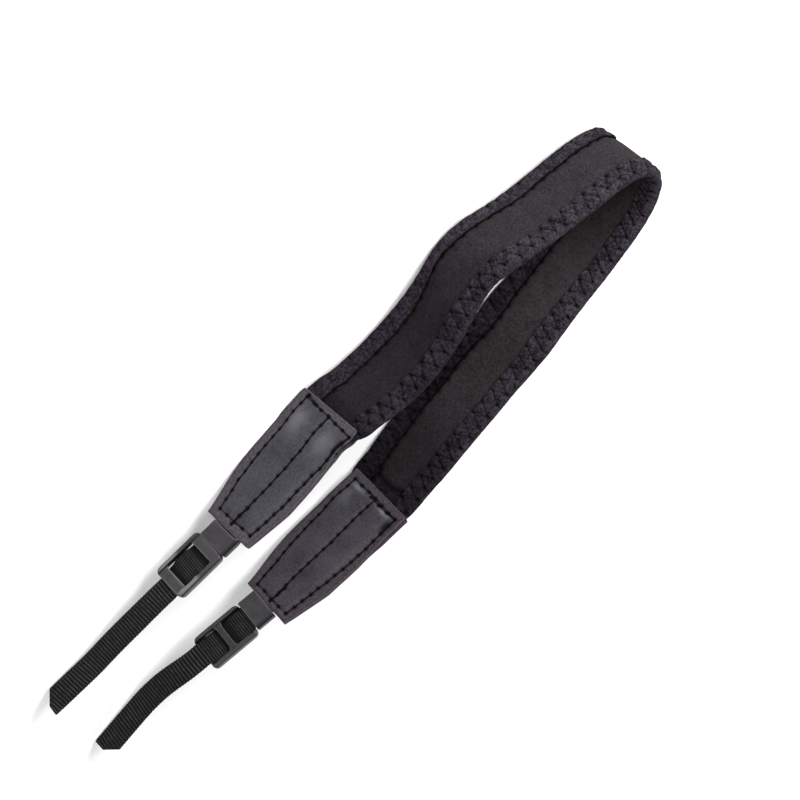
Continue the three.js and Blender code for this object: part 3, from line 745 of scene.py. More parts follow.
def neoprene_half(s, b, outer):
    """Half thickness of the neoprene on one face and its painted shade: crowned between the seams,
    thin under the edge cloth, pulled in at each needle point, and fluted along the seams; the shade
    lies next to the seams, at the needle points and in a soft band along the end seam."""
    low = seams["lower_outer" if outer else "lower_inner"]
    high = seams["upper_outer" if outer else "upper_inner"]
    from_low, from_high = b - low.depth(s), BAND_WIDTH - b - high.depth(s)
    inside = np.minimum(from_low, from_high)
    half = FACE - 0.42 * np.exp(-np.clip(inside, 0, None) / 1.5)
    plain = np.where(from_low < from_high, low.line, high.line)
    deep = (0.55 - 0.4 * plain) * np.exp(-np.clip(inside - 0.7, 0, None) / 0.5)
    for seam, depth, away in ((low, b, from_low), (high, BAND_WIDTH - b, from_high)):
        half -= 0.45 * seam.needle(s, depth, 0.8) + 0.22 * seam.needle(s, depth, 2.0)
        half += 0.09 * np.exp(-np.abs(away) / 2.2) * soft_noise(s / 1.3, depth / 6.0, 31)
        deep += (0.5 + 0.3 * seam.loose) * seam.needle(s, depth, 0.7)
    half += 0.10 * soft_noise(s / 11, b / 9, 32) + 0.03 * soft_noise(s / 2.6, b / 2.6, 33)
    if not outer:
        from_end = end_seam_at(b) - s
        half -= 0.35 * bell(from_end, 0.9) + 0.30 * bell(from_end, 2.2)
        half += 0.20 * soft_noise(s / 1.2, b / 2.0, 34) * ease(-from_end / 1.0)
        # painted shade: a soft dark band along the end seam
        deep += 0.85 * bell(from_end - 0.2, 1.2)
    return HIDDEN + (half - HIDDEN) * ease((inside + 1.0) / 0.9), np.clip(deep, 0, 1)


def make_neoprene_band(material):
    """The padded core: on a grid of s along the band and a loop round its section, the two faces
    stand off by neoprene_half and two short arcs join them under the edge cloth."""
    s = np.linspace(0, band_route.total, 620)[:, None]
    b = np.linspace(CORE_EDGE, BAND_WIDTH - CORE_EDGE, 54)[None]
    turn = np.linspace(0, math.pi, 5)[1:-1][None]
    along = s + 0 * b
    (half_o, deep_o), (half_i, deep_i) = (neoprene_half(along, b, outer) for outer in (True, False))
    arc_a, arc_b = np.cos(turn) * HIDDEN + 0 * s, np.sin(turn) * 0.6 + 0 * s
    a = np.hstack([half_o, arc_a, -half_i[:, ::-1], -arc_a])
    face = b + 0 * s
    height = np.hstack([face, BAND_WIDTH - CORE_EDGE + arc_b, face[:, ::-1], CORE_EDGE - arc_b])
    # painted shade: near black on the arcs hidden under the edge cloth
    deep = np.hstack([deep_o, 1 + 0 * arc_a, deep_i[:, ::-1], 1 + 0 * arc_a])
    cloth = np.zeros_like(a)
    inner = slice(b.size + turn.size, 2 * b.size + turn.size)
    cloth[:, inner] = ease((along - end_seam_at(b)) / 0.7)[:, ::-1]
    points = lay_on_band(s, a, height)
    made = piece(
        "neoprene_band_pad", [(points, False)], material,
        uv=[(s * MM, run_round(a[0], height[0]) * MM)],
        marks={"edge_cloth": [cloth], "deep": [deep], "painted_light": [np.interp(s, *PAINTED_LIGHT_ALONG) + 0 * a]},
        node=["neoprene_band"],
    )


def make_binding(edge, material):
    """Edge cloth folded over the band: down one face, round the rolled hem and up the other, its
    height from the seams' relief, and back on its inside."""
    s = np.linspace(0, band_route.total, 1150)[:, None]
    u = np.linspace(0, 1, 28)[None]
    turn = np.linspace(0, math.pi, 11)[1:-1][None]
    outer, inner = seams[edge + "_outer"], seams[edge + "_inner"]
    reach_o, reach_i = outer.reach(s), inner.reach(s)
    d_out = reach_o + (HEM - reach_o) * u
    d_in = HEM + (reach_i - HEM) * u
    along = s + 0 * u
    (rise_o, deep_o), (rise_i, deep_i) = outer.relief(along, d_out), inner.relief(along, d_in)
    wave = 0.03 * soft_noise(s / 2.2, 0.5, 41) - 0.04 * outer.needle(s, HEM_ROW + 0 * s, 1.2, True)
    radius = HEM + wave * np.sqrt(np.sin(turn)) + 0.05 * soft_noise(s / 1.0, turn * 2, 42)
    u_turn = (1 - np.cos(turn)) / 2
    roll = rise_o[:, -1:] * (1 - u_turn) + rise_i[:, :1] * u_turn
    radius = radius + roll * np.abs(np.cos(turn)) ** 6
    deep_turn = deep_o[:, -1:] * (1 - u_turn) ** 4 + deep_i[:, :1] * u_turn**4
    back = np.linspace(1, 0, 4)[None]
    level = 0 * s * back
    a = np.hstack([
        HEM + rise_o, np.cos(turn) * radius, -HEM - rise_i, level - LINING, level + LINING,
    ])
    d = np.hstack([
        d_out, HEM - np.sin(turn) * radius, d_in, LINING_EDGE + (reach_i - LINING_EDGE) * back,
        LINING_EDGE + (reach_o - LINING_EDGE) * back[:, ::-1],
    ])
    # painted shade: near black on the lining inside the fold
    deep = np.hstack([deep_o, deep_turn, deep_i, 1 + level, 1 + level])
    clear = 450  # a section well away from the tabs, whose outline serves them all
    points = lay_on_band(s, a, height_of(edge, d))
    made = piece(
        "binding_" + edge + "_cloth", [(points, False)], material,
        uv=[(s * MM, run_round(a[clear], d[clear]) * MM)],
        marks={"deep": [deep], "painted_light": [np.interp(s, *PAINTED_LIGHT_ALONG) + 0 * a]},
        node=["binding_" + edge], sharp=60,
    )


THREAD = 0.18  # the seam thread's radius
ZIGZAG_SUNK, LINE_SUNK, END_SUNK = 0.10, 0.42, 1.0  # how deep each kind of seam is pulled in


def make_band_thread(material):
    """Seam thread: in a zigzag one line from needle to needle, sunk in the cloth's relief; in a
    straight seam one short stitch from each needle point to the next."""
    for name, seam in seams.items():
        edge, side = name.split("_")
        sign = 1 if side == "outer" else -1
        if seam.line == 0:
            u = np.arange(0, 1, 1 / 6)[None]
            s = (seam.path_s[:-1, None] + np.diff(seam.path_s)[:, None] * u).ravel()
            d = np.interp(s, seam.path_s, seam.path_d)
            a = HEM - ZIGZAG_SUNK + seam.relief(s, d)[0]
            line = lay_on_band(s, sign * a, height_of(edge, d))[None]
            sheets = tubes(line, sign * band_route.flank(s)[None], THREAD, 5)
        else:
            holes = lay_on_band(seam.s, sign * (HEM - LINE_SUNK), height_of(edge, seam.d))
            normal = sign * band_route.flank(seam.s)
            sheets = stitch_row(holes, normal, 1.25 * THREAD, 0.25 * seam.line)
        piece("seam_thread_" + name, sheets, material, sharp=80)
    b = np.array(END_SEAM)
    s = end_seam_at(b)
    holes = lay_on_band(s, -(FACE - END_SUNK), b)
    sheets = stitch_row(holes, -band_route.flank(s), THREAD, 0.1)
    piece("seam_thread_end_b", sheets, material, sharp=80)


# ---------------------------------------------------------------- leather tabs

TAB_LENGTH = 59.1
TAB_SIDES = ((0, 14.3), (1 / 3, 14.7), (2 / 3, 14.6), (1, 11.2))  # share of it, half its width
PLY = 1.1
TOP_GAP, MOUTH_GAP, SEAM_GAP = 1.5, 0.7, 0.15  # half the gap between the plies
TOP_FLAT, TOP_EASE = 10.5, 9  # length of the wide gap, and the run out of it
PUFF = 0.5
HOLE_PITCH = 4.1
TOP_CORNER, MOUTH_CORNER = 0.9, 0.5
TAB_THREAD, HOLE_SUNK = 0.19, 0.48  # its radius, and how deep the needle holes are
# Where each tab's top and mouth edges are, and how far along each goes for a mm up.
TAB_TOP = {"a": (1.05, -0.05), "b": (-2.2, 0.0)}
TAB_END = {"a": (59.6, -0.03), "b": (59.85, 0.0)}
# Its stitched rows as (along, up): its low side, its high side, the centre, the top, the second
# top row, the mouth, and the back tack over the centre's end.
TAB_ROWS = {
    "a": (
        ((3.1, -10.9), (10.5, -11.2), (22, -11.4), (31, -11.2), (43.7, -10.0), (55.9, -7.7)),
        ((4.1, 13.6), (10.2, 12.4), (15.5, 12.6), (22.9, 11.9), (38.8, 11.3), (46.8, 10.4), (55.2, 9.2)),
        ((3.9, 1.6), (12, 1.2), (20, 1.5), (28, 1.7), (37, 1.4), (45, 1.1), (49, 0.9), (56.9, 0.2)),
        ((3.9, -10.9), (3.8, 0.0), (4.1, 13.6)),
        ((2.9, -10.6), (3.1, -8.6), (3.8, -5.5)),
        ((55.9, -7.7), (55.5, 2.0), (55.2, 9.2)),
        ((48.5, 1.2), (52.5, 0.7), (56.9, 0.3)),
    ),
    "b": (
        ((1.3, -11.8), (12, -12.1), (24, -11.7), (37, -10.3), (50, -8.4), (57.1, -7.3)),
        ((1.3, 12.4), (14, 12.6), (30, 12.0), (45, 11.0), (56.8, 9.6)),
        ((1.4, 0.5), (22, 0.6), (40, 0.9), (57.2, 1.4)),
        ((1.3, -11.8), (1.2, 0.0), (1.3, 12.4)),
        ((1.9, -1.5), (2.0, 3.0), (1.9, 8.5), (1.4, 12.4)),
        ((57.1, -7.3), (57.0, 2.0), (56.8, 9.6)),
        ((50.5, 1.7), (54.5, 1.5), (57.9, 1.4)),
    ),
}
# How much painted shade each of those rows lays on the leather along its thread, standing in
# partly for the black thread. A row below FAINT is pulled down flat between its needle holes, and
# is darkest at them.
ROW_THREAD_AND_SHADE = (0.9, 0.9, 1.1, 0.5, 0.7, 0.5, 1.3)
FAINT = 0.8
# Lift of a stitch, and the radius and half the length of its turn at a hole.
STITCH, FAINT_STITCH = (0.20, 0.42, 0.5), (0.02, 0.28, 0.85)
# The fold in one corner, dented and darkened with painted shade: along, up, half its length and
# height, how it bows, how square its ends are.
TAB_DENT = {"a": (10.2, 12.05, 4.4, 0.6, 0.05, 4), "b": (6.0, 11.9, 3.8, 1.9, 0.0, 2)}
# How much each tab is wider than its pattern at its low and high side: along, low, high.
TAB_STRETCH = {
    "a": ((0, 0, 0), (5, 0, 0), (10, 0.05, -1.2), (15, 0.4, -0.6), (20, 0.6, -0.2), (27, 0.35, -0.1),
          (34, 0.05, 0), (60, -0.1, 0.2)),
    "b": ((0, 0.6, 0.45), (12, 0.3, 0.45), (24, 0.2, 0.7), (32, -0.2, 0.65), (42, -0.55, 0.8),
          (60, -0.6, 1.0)),
}
# Painted highlights where light falls on each tab's bulge over the band's end: along, up, half its
# length and height, strength.
TAB_PAINTED_HIGHLIGHT = {
    "a": ((13.0, -7.5, 4.6, 3.6, 0.8), (12.5, 7.5, 4.6, 3.6, 0.8)),
    "b": ((9.0, -9.0, 4.2, 3.0, 0.7), (3.0, -8.0, 0.9, 3.2, 1.5), (3.0, 7.0, 0.9, 3.2, 1.5)),
}
(tab_side,) = smooth_columns(TAB_SIDES)


def tab_half(t):
    """Half the width of the tab's pattern at t along it."""
    return tab_side(np.clip(t / TAB_LENGTH, 0, 1))


def tab_frame(end):
    """The tab's place: its top's middle in the band's last straight row, turned as it lies."""
    tab, total = TABS[end], band_route.total
    at = IN_TAB if end == "a" else total - IN_TAB
    heading = band_route.heading(0.0) - 180 if end == "a" else band_route.heading(total)
    origin, _, _, up = band_route.frame(at)
    top = origin + up * (BAND_WIDTH / 2 + tab["rise"])
    row = ((TAB_LENGTH, 0, 0, tab["lean"]),)
    return Route(row, top, float(heading), tab["pitch"], tab["lean"], tab["side"])


def seam_rows(end, face):
    """The tab's stitched rows as needle holes a stitch apart, a little uneven."""
    jitter = np.random.default_rng(61 + 2 * (end == "b") + (face > 0))
    rows = []
    for points in TAB_ROWS[end]:
        points = np.array(points, float)
        run = run_round(*points.T)
        even = np.linspace(0, run[-1], max(2, round(run[-1] / HOLE_PITCH) + 1))
        row = np.stack([np.interp(even, run, points[:, k]) for k in range(2)], -1)
        row[1:-1] += jitter.uniform(-0.16, 0.16, (len(row) - 2, 2))
        rows.append(row)
    return rows


def off_rows(t, z, rows):
    """Distance from each point to the nearest stitched row and to the nearest needle hole, and the
    rows' painted shade there, standing in partly for their black thread: each row's own share, less
    of it away from its holes."""
    line, hole, thread_and_shade = np.full(t.shape, 99.0), np.full(t.shape, 99.0), np.zeros(t.shape)
    for row, strength in zip(rows, ROW_THREAD_AND_SHADE):
        own, near = np.full(t.shape, 99.0), np.full(t.shape, 99.0)
        for (t0, z0), (t1, z1) in zip(row[:-1], row[1:]):
            u = ((t - t0) * (t1 - t0) + (z - z0) * (z1 - z0)) / ((t1 - t0) ** 2 + (z1 - z0) ** 2)
            u = np.clip(u, 0, 1)
            own = np.minimum(own, np.hypot(t - t0 - u * (t1 - t0), z - z0 - u * (z1 - z0)))
        for t0, z0 in row:
            near = np.minimum(near, np.hypot(t - t0, z - z0))
        share = strength + (1.2 - strength) * bell(near, 1.0) * (strength < FAINT)
        line, hole = np.minimum(line, own), np.minimum(hole, near)
        thread_and_shade = np.maximum(thread_and_shade, share * bell(own, 0.34))
    return line, hole, thread_and_shade


def ply_gap(t, w):
    """Inner face of a ply off the tab's middle: apart over the band, then closed to the webbing
    in the channel and nearly shut at the side seams."""
    closed = ease((t - TOP_FLAT) / TOP_EASE)
    aside = ease((np.abs(w) - 0.6) / 0.2)
    below = MOUTH_GAP + (SEAM_GAP - MOUTH_GAP) * aside
    return TOP_GAP + (below - TOP_GAP) * closed


def ply_face(end, t, z, rows, seed):
    """Outer face of a ply over its inner one: puffed inside the stitched frame as
    1 - exp(-(d / 2.4)^1.2) of the distance d to the nearest row, with grooves, needle holes, a dent
    in one corner and soft creases. Gives its height, its painted shade in holes, stitched grooves and
    the dent, how much it belongs to the flat margin, and its painted highlight."""
    low, high = (np.interp(t, *rows[k].T) for k in (0, 1))
    top = np.interp(z, *rows[3].T[::-1])
    mouth = np.interp(z, *rows[5].T[::-1])
    inside = (z > low) & (z < high) & (t > top) & (t < mouth)
    line, hole, thread_and_shade = off_rows(t, z, rows)
    long, high_at, wide_t, wide_z, bow, square = TAB_DENT[end]
    ends = ease((t - top) / 9) * (0.7 + 0.5 * ease((mouth - t) / 40)) * ease((mouth - t) / 5)
    puff = PUFF * (1 - np.exp(-((line / 2.4) ** 1.2))) * ends * inside
    dent = np.exp(-(np.abs(t - long) / wide_t) ** square)
    dent = dent * bell(z - high_at - bow * (t - long) ** 2, wide_z)
    height = PLY + puff * (1 - 0.9 * dent) - 0.30 * bell(line, 0.42) - 0.10 * bell(line, 1.3)
    height -= 0.45 * bell(hole, 0.5) + 0.12 * bell(hole, 1.2) + 0.6 * dent
    near_top = bell(t - top - 3, 2.8) * inside
    height += 0.16 * near_top * soft_noise(t / 3.0, z / 1.7, seed)
    height += 0.09 * soft_noise(t / 5, z / 3.5, seed + 1) * inside
    # painted shade: near black in the needle holes, along the stitched rows and in the fold
    deep = 2.2 * bell(hole, 0.62) + thread_and_shade + 1.15 * dent * inside
    margin = (1 - inside) * ease((line - 0.25) / 0.4)
    # painted highlight over the band's end and along tab b's top
    painted_highlight = sum(k * bell(t - at, p) * bell(z - up, q) for at, up, p, q, k in TAB_PAINTED_HIGHLIGHT[end]) * inside
    return height, np.clip(deep, 0, 1), margin, painted_highlight


def tab_grid(end, w):
    """The tab as a grid: t runs from its top edge to its mouth edge, and z is w times its half
    width, which is its pattern's and its stretch, less rounded corners and a little waver. Gives t,
    z, the half width, and how far it is to the nearer end."""
    near_ends = [0.002, 0.006, 0.9975]  # rows that round off the two cut ends
    u = np.sort(np.append(np.linspace(0, 1, 232), near_ends))[:, None]
    (at, slant), (end_at, end_slant) = TAB_TOP[end], TAB_END[end]
    low, high = smooth_columns(TAB_STRETCH[end])
    z = w * tab_side(0.2)
    start = at + slant * z + 0.10 * soft_noise(z / 2.5, 0.5, 72)
    stop = end_at + end_slant * z + 0.12 * soft_noise(z / 3, 2.5, 73)
    t = start + u * (stop - start)
    half = tab_half(t) + np.where(w < 0, low(t), high(t))
    for away, radius in ((t - start, TOP_CORNER), (stop - t, MOUTH_CORNER)):
        inside = np.clip((radius - away) / radius, 0, 1)
        half = half - radius * (1 - np.sqrt(1 - inside**2))
    half = half + 0.10 * soft_noise(t / 5, np.sign(w) * 3.0, 71)
    return t, w * half, half, np.minimum(t - start, stop - t)


def make_tab(end, leather, thread):
    """Two plies, each a grid from its top edge to its mouth and a loop across its outer face, round
    its cut edge, back over its inner face and round the other edge; and its thread."""
    route = tab_frame(end)
    w, w_back = np.linspace(-1, 1, 112)[None], np.linspace(1, -1, 20)[None]
    t, z, half, from_end = tab_grid(end, w)
    t_back, z_back, _, _ = tab_grid(end, w_back)
    t_all, z_all = np.hstack([t, t_back]), np.hstack([z, z_back])
    margin = np.minimum(half - np.abs(z), from_end)
    one = np.ones_like(t_back)
    for face, name, seed in ((-1, "front", 51), (1, "back", 55)):
        rows = seam_rows(end, face)
        rise, deep, flat, painted_highlight = ply_face(end, t, z, rows, seed)
        outside = ply_gap(t, w) + rise - 0.22 * bell(np.clip(margin, 0, None), 0.32)
        # painted shade: a dark line just inside the cut edge
        deep = np.clip(deep + 0.35 * bell(margin - 0.75, 0.22), 0, 1)
        off = np.hstack([outside, ply_gap(t_back, w_back)])
        points = route.lay(t_all, face * off, z_all)
        made = piece(
            "tab_" + end + "_" + name + "_leather", [(points, False)], leather,
            uv=[(t_all * MM, np.hstack([z, 40 + z_back]) * MM)],
            marks={
                "margin": [np.hstack([flat, one])], "deep": [np.hstack([deep, 0 * one])],
                "painted_highlight": [np.hstack([painted_highlight, 0 * one])],
            },
            node=["tab_" + end + "_" + name], sharp=50,
        )
        sheets = []
        for row, thread_and_shade in zip(rows, ROW_THREAD_AND_SHADE):
            hole_t, hole_z = row.T
            depth = ply_gap(hole_t, hole_z / tab_half(hole_t)) + PLY - HOLE_SUNK
            holes = route.lay(hole_t, face * depth, hole_z)
            normal = face * route.flank(hole_t)
            lift, *turn = FAINT_STITCH if thread_and_shade < FAINT else STITCH
            sheets += stitch_row(holes, normal, TAB_THREAD, lift) + locks(holes, normal, *turn)
        piece("tab_" + end + "_" + name + "_thread", sheets, thread, sharp=80)


# ---------------------------------------------------------------- keepers and sliders

# Heights across the webbing and thicknesses are halves.
WEB_IN_TAB, WEB_NECK = 22.0, 0.7  # webbing inside the tab, and between the tab and the keeper
KEEPER_LENGTH, KEEPER_HIGH, KEEPER_HALF, KEEPER_CORNER = 7.9, 6.9, 1.8, 1.1
SLOT_HIGH, SLOT_HALF, SLOT_CORNER = 5.35, 0.95, 0.4
HARDWARE_GAP = 0.4
SLIDER_AT = WEB_IN_TAB + WEB_NECK + KEEPER_LENGTH + HARDWARE_GAP
SLIDER_LENGTH, SLIDER_HIGH, SLIDER_HALF, SLIDER_CORNER = 21.9, 7.7, 1.75, 1.9
END_BAR, RAIL, CENTRE_BAR = 4.5, 2.1, 1.25
BAR_LOW, BAR_HIGH, BAR_CROWN = 0.60, 1.45, 0.20  # the end bars' two faces, and the outer's crown
WINDOW_CORNER, WINDOW_DRAFT = 0.6, 0.85  # and how far its lower wall falls away to the back
# How each keeper sits: its start, its length, how far up, and how askew; each slider: its shift
# along and up, and how askew. Askew is in mm along for each mm up.
KEEPER_SITS = {"a": (22.9, 7.7, 0.4, -0.10), "b": (22.75, 8.45, 0.15, 0.0)}
SLIDER_SITS = {"a": (-0.25, -0.5, -0.07), "b": (0.6, 0.7, 0.0)}
# How much each is lightened all over, towards the pale colour of its painted gloss.
LIGHTENED = {"keeper_a": 0.0, "keeper_b": 0.04, "slider_a": 0.03, "slider_b": 0.0}
NO_SHADE_LINE = 9  # an off_shade_line far from any painted shade line


def tail_route(end):
    """The webbing's line, from inside the tab to the free end."""
    tab, tab_line = TABS[end], tab_frame(end)
    start = tab_line.frame(TAB_LENGTH - WEB_IN_TAB)[0]
    heading = float(tab_line.heading(0.0))
    return Route(TAILS[end], start, heading, tab["pitch"], tab["lean"], tab["side"])


def rounded_loop(half_x, half_y, corner, count):
    """Points round a rectangle with rounded corners, evenly spaced along its outline."""
    turn = np.linspace(0, math.pi / 2, 9)
    x, y = half_x - corner, half_y - corner
    quarter = np.stack([x + corner * np.cos(turn), y + corner * np.sin(turn)], -1)
    loop = np.vstack([
        quarter, (quarter * (-1, 1))[::-1], quarter * (-1, -1), (quarter * (1, -1))[::-1], quarter[:1],
    ])
    run = run_round(*loop.T)
    even = np.linspace(0, run[-1], count, endpoint=False)
    return np.stack([np.interp(even, run, loop[:, k]) for k in range(2)], -1)


def rounded(count, power):
    """Cosine and sine round a full turn, squared off: each to that power, with its sign."""
    turn = np.linspace(0, 2 * math.pi, count + 1)[:-1]
    return [np.sign(wave) * np.abs(wave) ** power for wave in (np.cos(turn), np.sin(turn))]


def ring_between(inner, outer, run):
    """Points from an inner outline to an outer one, as run goes from -1 to 1, and that share."""
    share = (run + 1) / 2
    shape = inner[:, None] + (outer - inner)[:, None] * share[None, :, None]
    return shape[..., 0], shape[..., 1], share[None]


def make_keeper(end, route, material):
    """Sleeve: the ring between its slot's outline and its outer one, carried round the wall's own
    loop of outside, rounded end, inside and rounded end."""
    outer = rounded_loop(KEEPER_HALF, KEEPER_HIGH, KEEPER_CORNER, 120)
    slot = rounded_loop(SLOT_HALF, SLOT_HIGH, SLOT_CORNER, 120)
    start, length, up, askew = KEEPER_SITS[end]
    run, wall = rounded(44, 0.24)
    a, b, share = ring_between(slot, outer, wall)
    s = start + length / 2 * (1 + run) + askew * b
    points = route.lay(s, a, b + up)
    from_top = b - KEEPER_HIGH
    # painted highlights on the rounded rims of the sleeve's ends, and a painted reflection on its top
    # face
    painted_gloss = 0.3 * bell(np.abs(run) - 0.96, 0.05) * (share > 0.6) + LIGHTENED["keeper_" + end]
    painted_gloss = painted_gloss + 0.22 * ease((from_top + 0.05) / 0.1)
    # painted shade: dark bands along the sleeve's lower edge and below its top corner
    deep = 0.9 * bell(b + KEEPER_HIGH - 0.2, 0.2) + 0.8 * bell(from_top + 0.9, 0.5)
    piece(
        "keeper_" + end + "_sleeve", [(points, True)], material,
        marks={"painted_gloss": [painted_gloss], "deep": [deep * (share > 0.9)], "off_shade_line": [from_top + 0.4]},
        node=["keeper_" + end],
    )


def make_slider(end, face, route, material):
    """Three-bar slider: a ring between its window and its outer outline, thick and proud at the
    side rails, thinned to one face at the end bars, and a centre bar on the other face. The
    window widens to the back at its lower side, where the lower rail's inner wall falls away."""
    window = (SLIDER_LENGTH / 2 - END_BAR, SLIDER_HIGH - RAIL)
    outer = rounded_loop(SLIDER_LENGTH / 2, SLIDER_HIGH, SLIDER_CORNER, 176)
    inner = rounded_loop(*window, WINDOW_CORNER, 176)
    run, thick = rounded(32, 0.42)
    x, b, share = ring_between(inner, outer, run)
    rail = ease((np.abs(b) - window[1] + 0.05) / 0.3)
    high = SLIDER_HALF * rail + BAR_HIGH * (1 - rail)
    low = -SLIDER_HALF * rail + BAR_LOW * (1 - rail)
    y = (high + low) / 2 + (high - low) / 2 * thick
    far = np.clip((-y if end == "a" else y) / SLIDER_HALF + 0.1, 0, 1)
    z = b - WINDOW_DRAFT * far * (1 - share) * rail * (b < 0)
    along, up, askew = SLIDER_SITS[end]
    crown = BAR_CROWN * (1 - rail) * (1 - ((np.abs(x) - window[0] - 2.0) / 2) ** 2)
    y = y + crown * (thick > 0)
    middle = SLIDER_AT + SLIDER_LENGTH / 2 + along
    ring = route.lay(middle + x + askew * z, -face * y, z + up)
    near = y if end == "a" else -y
    # painted highlights along the frame's rounded edges, on slider a's rails over their far half, and on
    # the upper rail's rim
    painted_gloss = 0.4 * bell(np.minimum(share, 1 - share) - 0.04, 0.08) * (np.abs(thick) > 0.4)
    painted_gloss = painted_gloss * (1 - 0.7 * rail) + LIGHTENED["slider_" + end]
    gloss = 0.75 * ease(x / 3 + 0.3) if end == "a" else 0.05
    painted_gloss = np.clip(painted_gloss + gloss * rail * bell(share - 0.5, 0.42) * (near > 0), 0, 1)
    top = ease((b - SLIDER_HIGH + 0.4) / 0.2)
    # painted shade: a dark line along the upper rail's rounded edge
    deep = 1.3 * bell(near - 1.1, 0.55) * top
    painted_gloss = np.clip(painted_gloss + 0.3 * top * (near < 0.8), 0, 1)
    cos, sin = rounded(24, 0.5)
    z = np.linspace(-window[1] - 0.9, window[1] + 0.9, 28)[:, None]
    wide = CENTRE_BAR + 0.5 * ease((np.abs(z) - window[1] + 1.4) / 1.4)
    bar = route.lay(middle + cos * wide + askew * z, face * (1.12 - 0.5 * sin) + 0 * wide, z + up)
    # painted highlight along the centre bar's edges
    rim = 0.3 * bell(np.abs(cos) - 0.9, 0.12) * np.ones_like(z)
    piece(
        "slider_" + end + "_frame", [(ring, True), (bar, False)], material,
        marks={
            "painted_gloss": [painted_gloss, rim], "deep": [deep, 0 * rim],
            # painted shadow along the rail's step
            "off_shade_line": [b + window[1] + 0.15, NO_SHADE_LINE + 0 * rim],
        },
        node=["slider_" + end], sharp=45,
    )


# ---------------------------------------------------------------- webbing

WEB_HALF_WIDTH, WEB_HALF = 5.0, 0.46
WEAVE, WEAVE_EASE = 0.3, 4.5  # how far the slider's bars push it aside, and its run back
HELD, HELD_EASE = 12.5, 4.0  # half the length that the slider holds, and the run into it
CROWDED = 0.28  # how much closer its ribs lie there
UPRIGHT, UPRIGHT_EASE = 8, 16  # the ribs stand square within it, and lean beyond it
BEND_AT, BEND_EASE = 80, 9  # the last bend
CUT_EASE = 20  # length over which the rows slant to the cut end
TOOTH = 0.16  # depth of the selvedge's teeth
# Rib pitch, how far along a rib leans for each mm up (before and after the last bend), and the
# cut end: its place at height 0 and its slant. In the slider it sits that much up and spreads by
# that much to each side, and its lower edge curls: place along, half its length, how far up.
WEBBING = {
    "a": {
        "pitch": 1.33, "skew": (-0.167, -0.167), "cut": (117.55, 0.71),
        "in_slider": (-0.5, 0.1), "curl": (42.3, 3.3, -0.42),
    },
    "b": {
        "pitch": 1.45, "skew": (-0.167, 0.09), "cut": (112.9, -1.02),
        "in_slider": (0.68, 0.58), "curl": (46.8, 1.9, 0.32),
    },
}


def weave_aside(s, face):
    """How far the webbing moves aside for the slider's bars: one way at the end bars, the other
    at the centre bar, eased between them and out to the tail."""
    off = np.abs(s - SLIDER_AT - SLIDER_LENGTH / 2)
    reach = SLIDER_LENGTH / 2
    over = ease((off - CENTRE_BAR) / (reach - CENTRE_BAR - END_BAR))
    return face * WEAVE * (2 * over - 1) * (1 - ease((off - reach) / WEAVE_EASE))


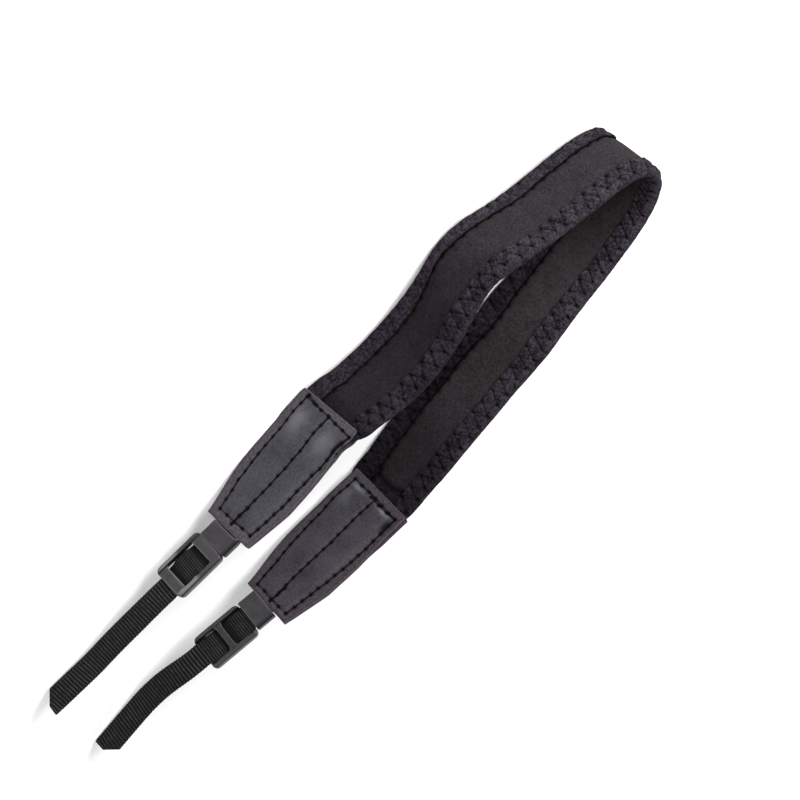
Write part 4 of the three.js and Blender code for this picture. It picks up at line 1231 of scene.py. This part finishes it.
def make_webbing(end, face, route, material):
    """Flat webbing: skewed ribs across it as |sin|^1.3 of the run, a toothed selvedge in step with
    them and a slight waver of the ribs, on a loop round its section; cut off at a slant."""
    form = WEBBING[end]
    pitch, (cut_at, cut_slant) = form["pitch"], form["cut"]
    count = int(route.total / pitch) * 10
    run = np.linspace(0, route.total, count)[:, None]
    half = np.linspace(-1, 1, 21)
    b = np.hstack([half, half[::-1]])[None]
    side = np.hstack([np.ones(21), -np.ones(21)])[None]
    stop = np.minimum(route.total, cut_at + cut_slant * b * WEB_HALF_WIDTH)
    from_end = np.clip((run - route.total + CUT_EASE) / CUT_EASE, 0, 1)
    s = run - from_end * (route.total - stop)
    before, after = form["skew"]
    skew = before + (after - before) * ease((s - BEND_AT) / BEND_EASE)
    waver = 0.10 * soft_noise(s / 9, b * 2.0, 81) + 0.05 * soft_noise(s / 1.4, b * 7, 82)
    middle = SLIDER_AT + SLIDER_LENGTH / 2
    held = ease((HELD - np.abs(s - middle)) / HELD_EASE)
    places = np.linspace(-5, route.total + 5, 2600)
    close = pitch * (1 - CROWDED * ease((HELD - np.abs(places - middle)) / HELD_EASE))
    ribs = np.append(0, np.cumsum(np.diff(places) / close[1:]))
    lean = skew * ease((np.abs(s - middle) - UPRIGHT) / UPRIGHT_EASE)
    phase = np.interp(s - lean * b * WEB_HALF_WIDTH, places, ribs) + waver
    rib = np.abs(np.sin(math.pi * phase)) ** 1.3
    rib = rib * (0.90 + 0.10 * soft_noise(s / pitch, b * 4 + side * 7, 83))
    thick = (WEB_HALF + 0.16 * (rib - 0.5)) * np.sqrt(np.clip(1 - np.abs(b) ** 14, 0.08, 1))
    tooth = TOOTH * np.abs(np.sin(math.pi * phase))
    high = b * (WEB_HALF_WIDTH - 0.10 + tooth * np.abs(b) ** 6)
    (up, spread), (curl_at, curl_long, curl) = form["in_slider"], form["curl"]
    high = high + 0.10 * soft_noise(s / 14, 0.5, 84) + (up + spread * b) * held
    high = high + curl * np.exp(-(((s - curl_at) / curl_long) ** 4)) * np.clip(-b, 0, 1) ** 2
    aside = weave_aside(s, face)
    off = np.abs(s - middle)
    # painted shade where the webbing dives behind a bar
    away = ease(0.3 - side * aside / WEAVE) * ease((SLIDER_LENGTH / 2 - off) / 2)
    points = route.lay(s, aside + side * thick, high)
    made = piece(
        "webbing_" + end + "_ribbed", [(points, False)], material,
        uv=[(s * MM, (b * side + side + 1) * WEB_HALF_WIDTH * MM)],
        marks={"rib_height": [rib], "deep": [0.85 * away]}, node=["webbing_" + end], sharp=75,
    )
    along = np.linspace(0, route.total, 60)
    path = route.lay(along, weave_aside(along, face), 0.0) * MM


# ---------------------------------------------------------------- the scene

place_camera()
light_studio()

neoprene, binding, thread = neoprene_finish(), binding_finish(), thread_finish()
# One leather in two copies: tab a's set lighter and tab b's darker, as painted light and shade.
leather = {
    "a": leather_finish("leather_hide_a_painted_lighter", 1.70, 1.58, (1, 0.98, 1.01)),
    "b": leather_finish("leather_hide_b_painted_darker", 1.53, 1.22, (1.04, 0.95, 1.02)),
}
plastic, webbing = plastic_finish(), webbing_finish()

for end in TABS:
    tail = tail_route(end)
    side = -TABS[end]["side"]
    make_webbing(end, side, tail, webbing)
    make_keeper(end, tail, plastic)
    make_slider(end, side, tail, plastic)
make_neoprene_band(neoprene)
for edge in ("lower", "upper"):
    make_binding(edge, binding)
make_band_thread(thread)
for end in TABS:
    make_tab(end, leather[end], thread)

bpy.ops.mesh.primitive_plane_add(size=FLOOR_SIDE, location=(0, 0, 0))
floor = bpy.context.object
floor.name = "studio_floor"
floor.data.materials.append(floor_finish())
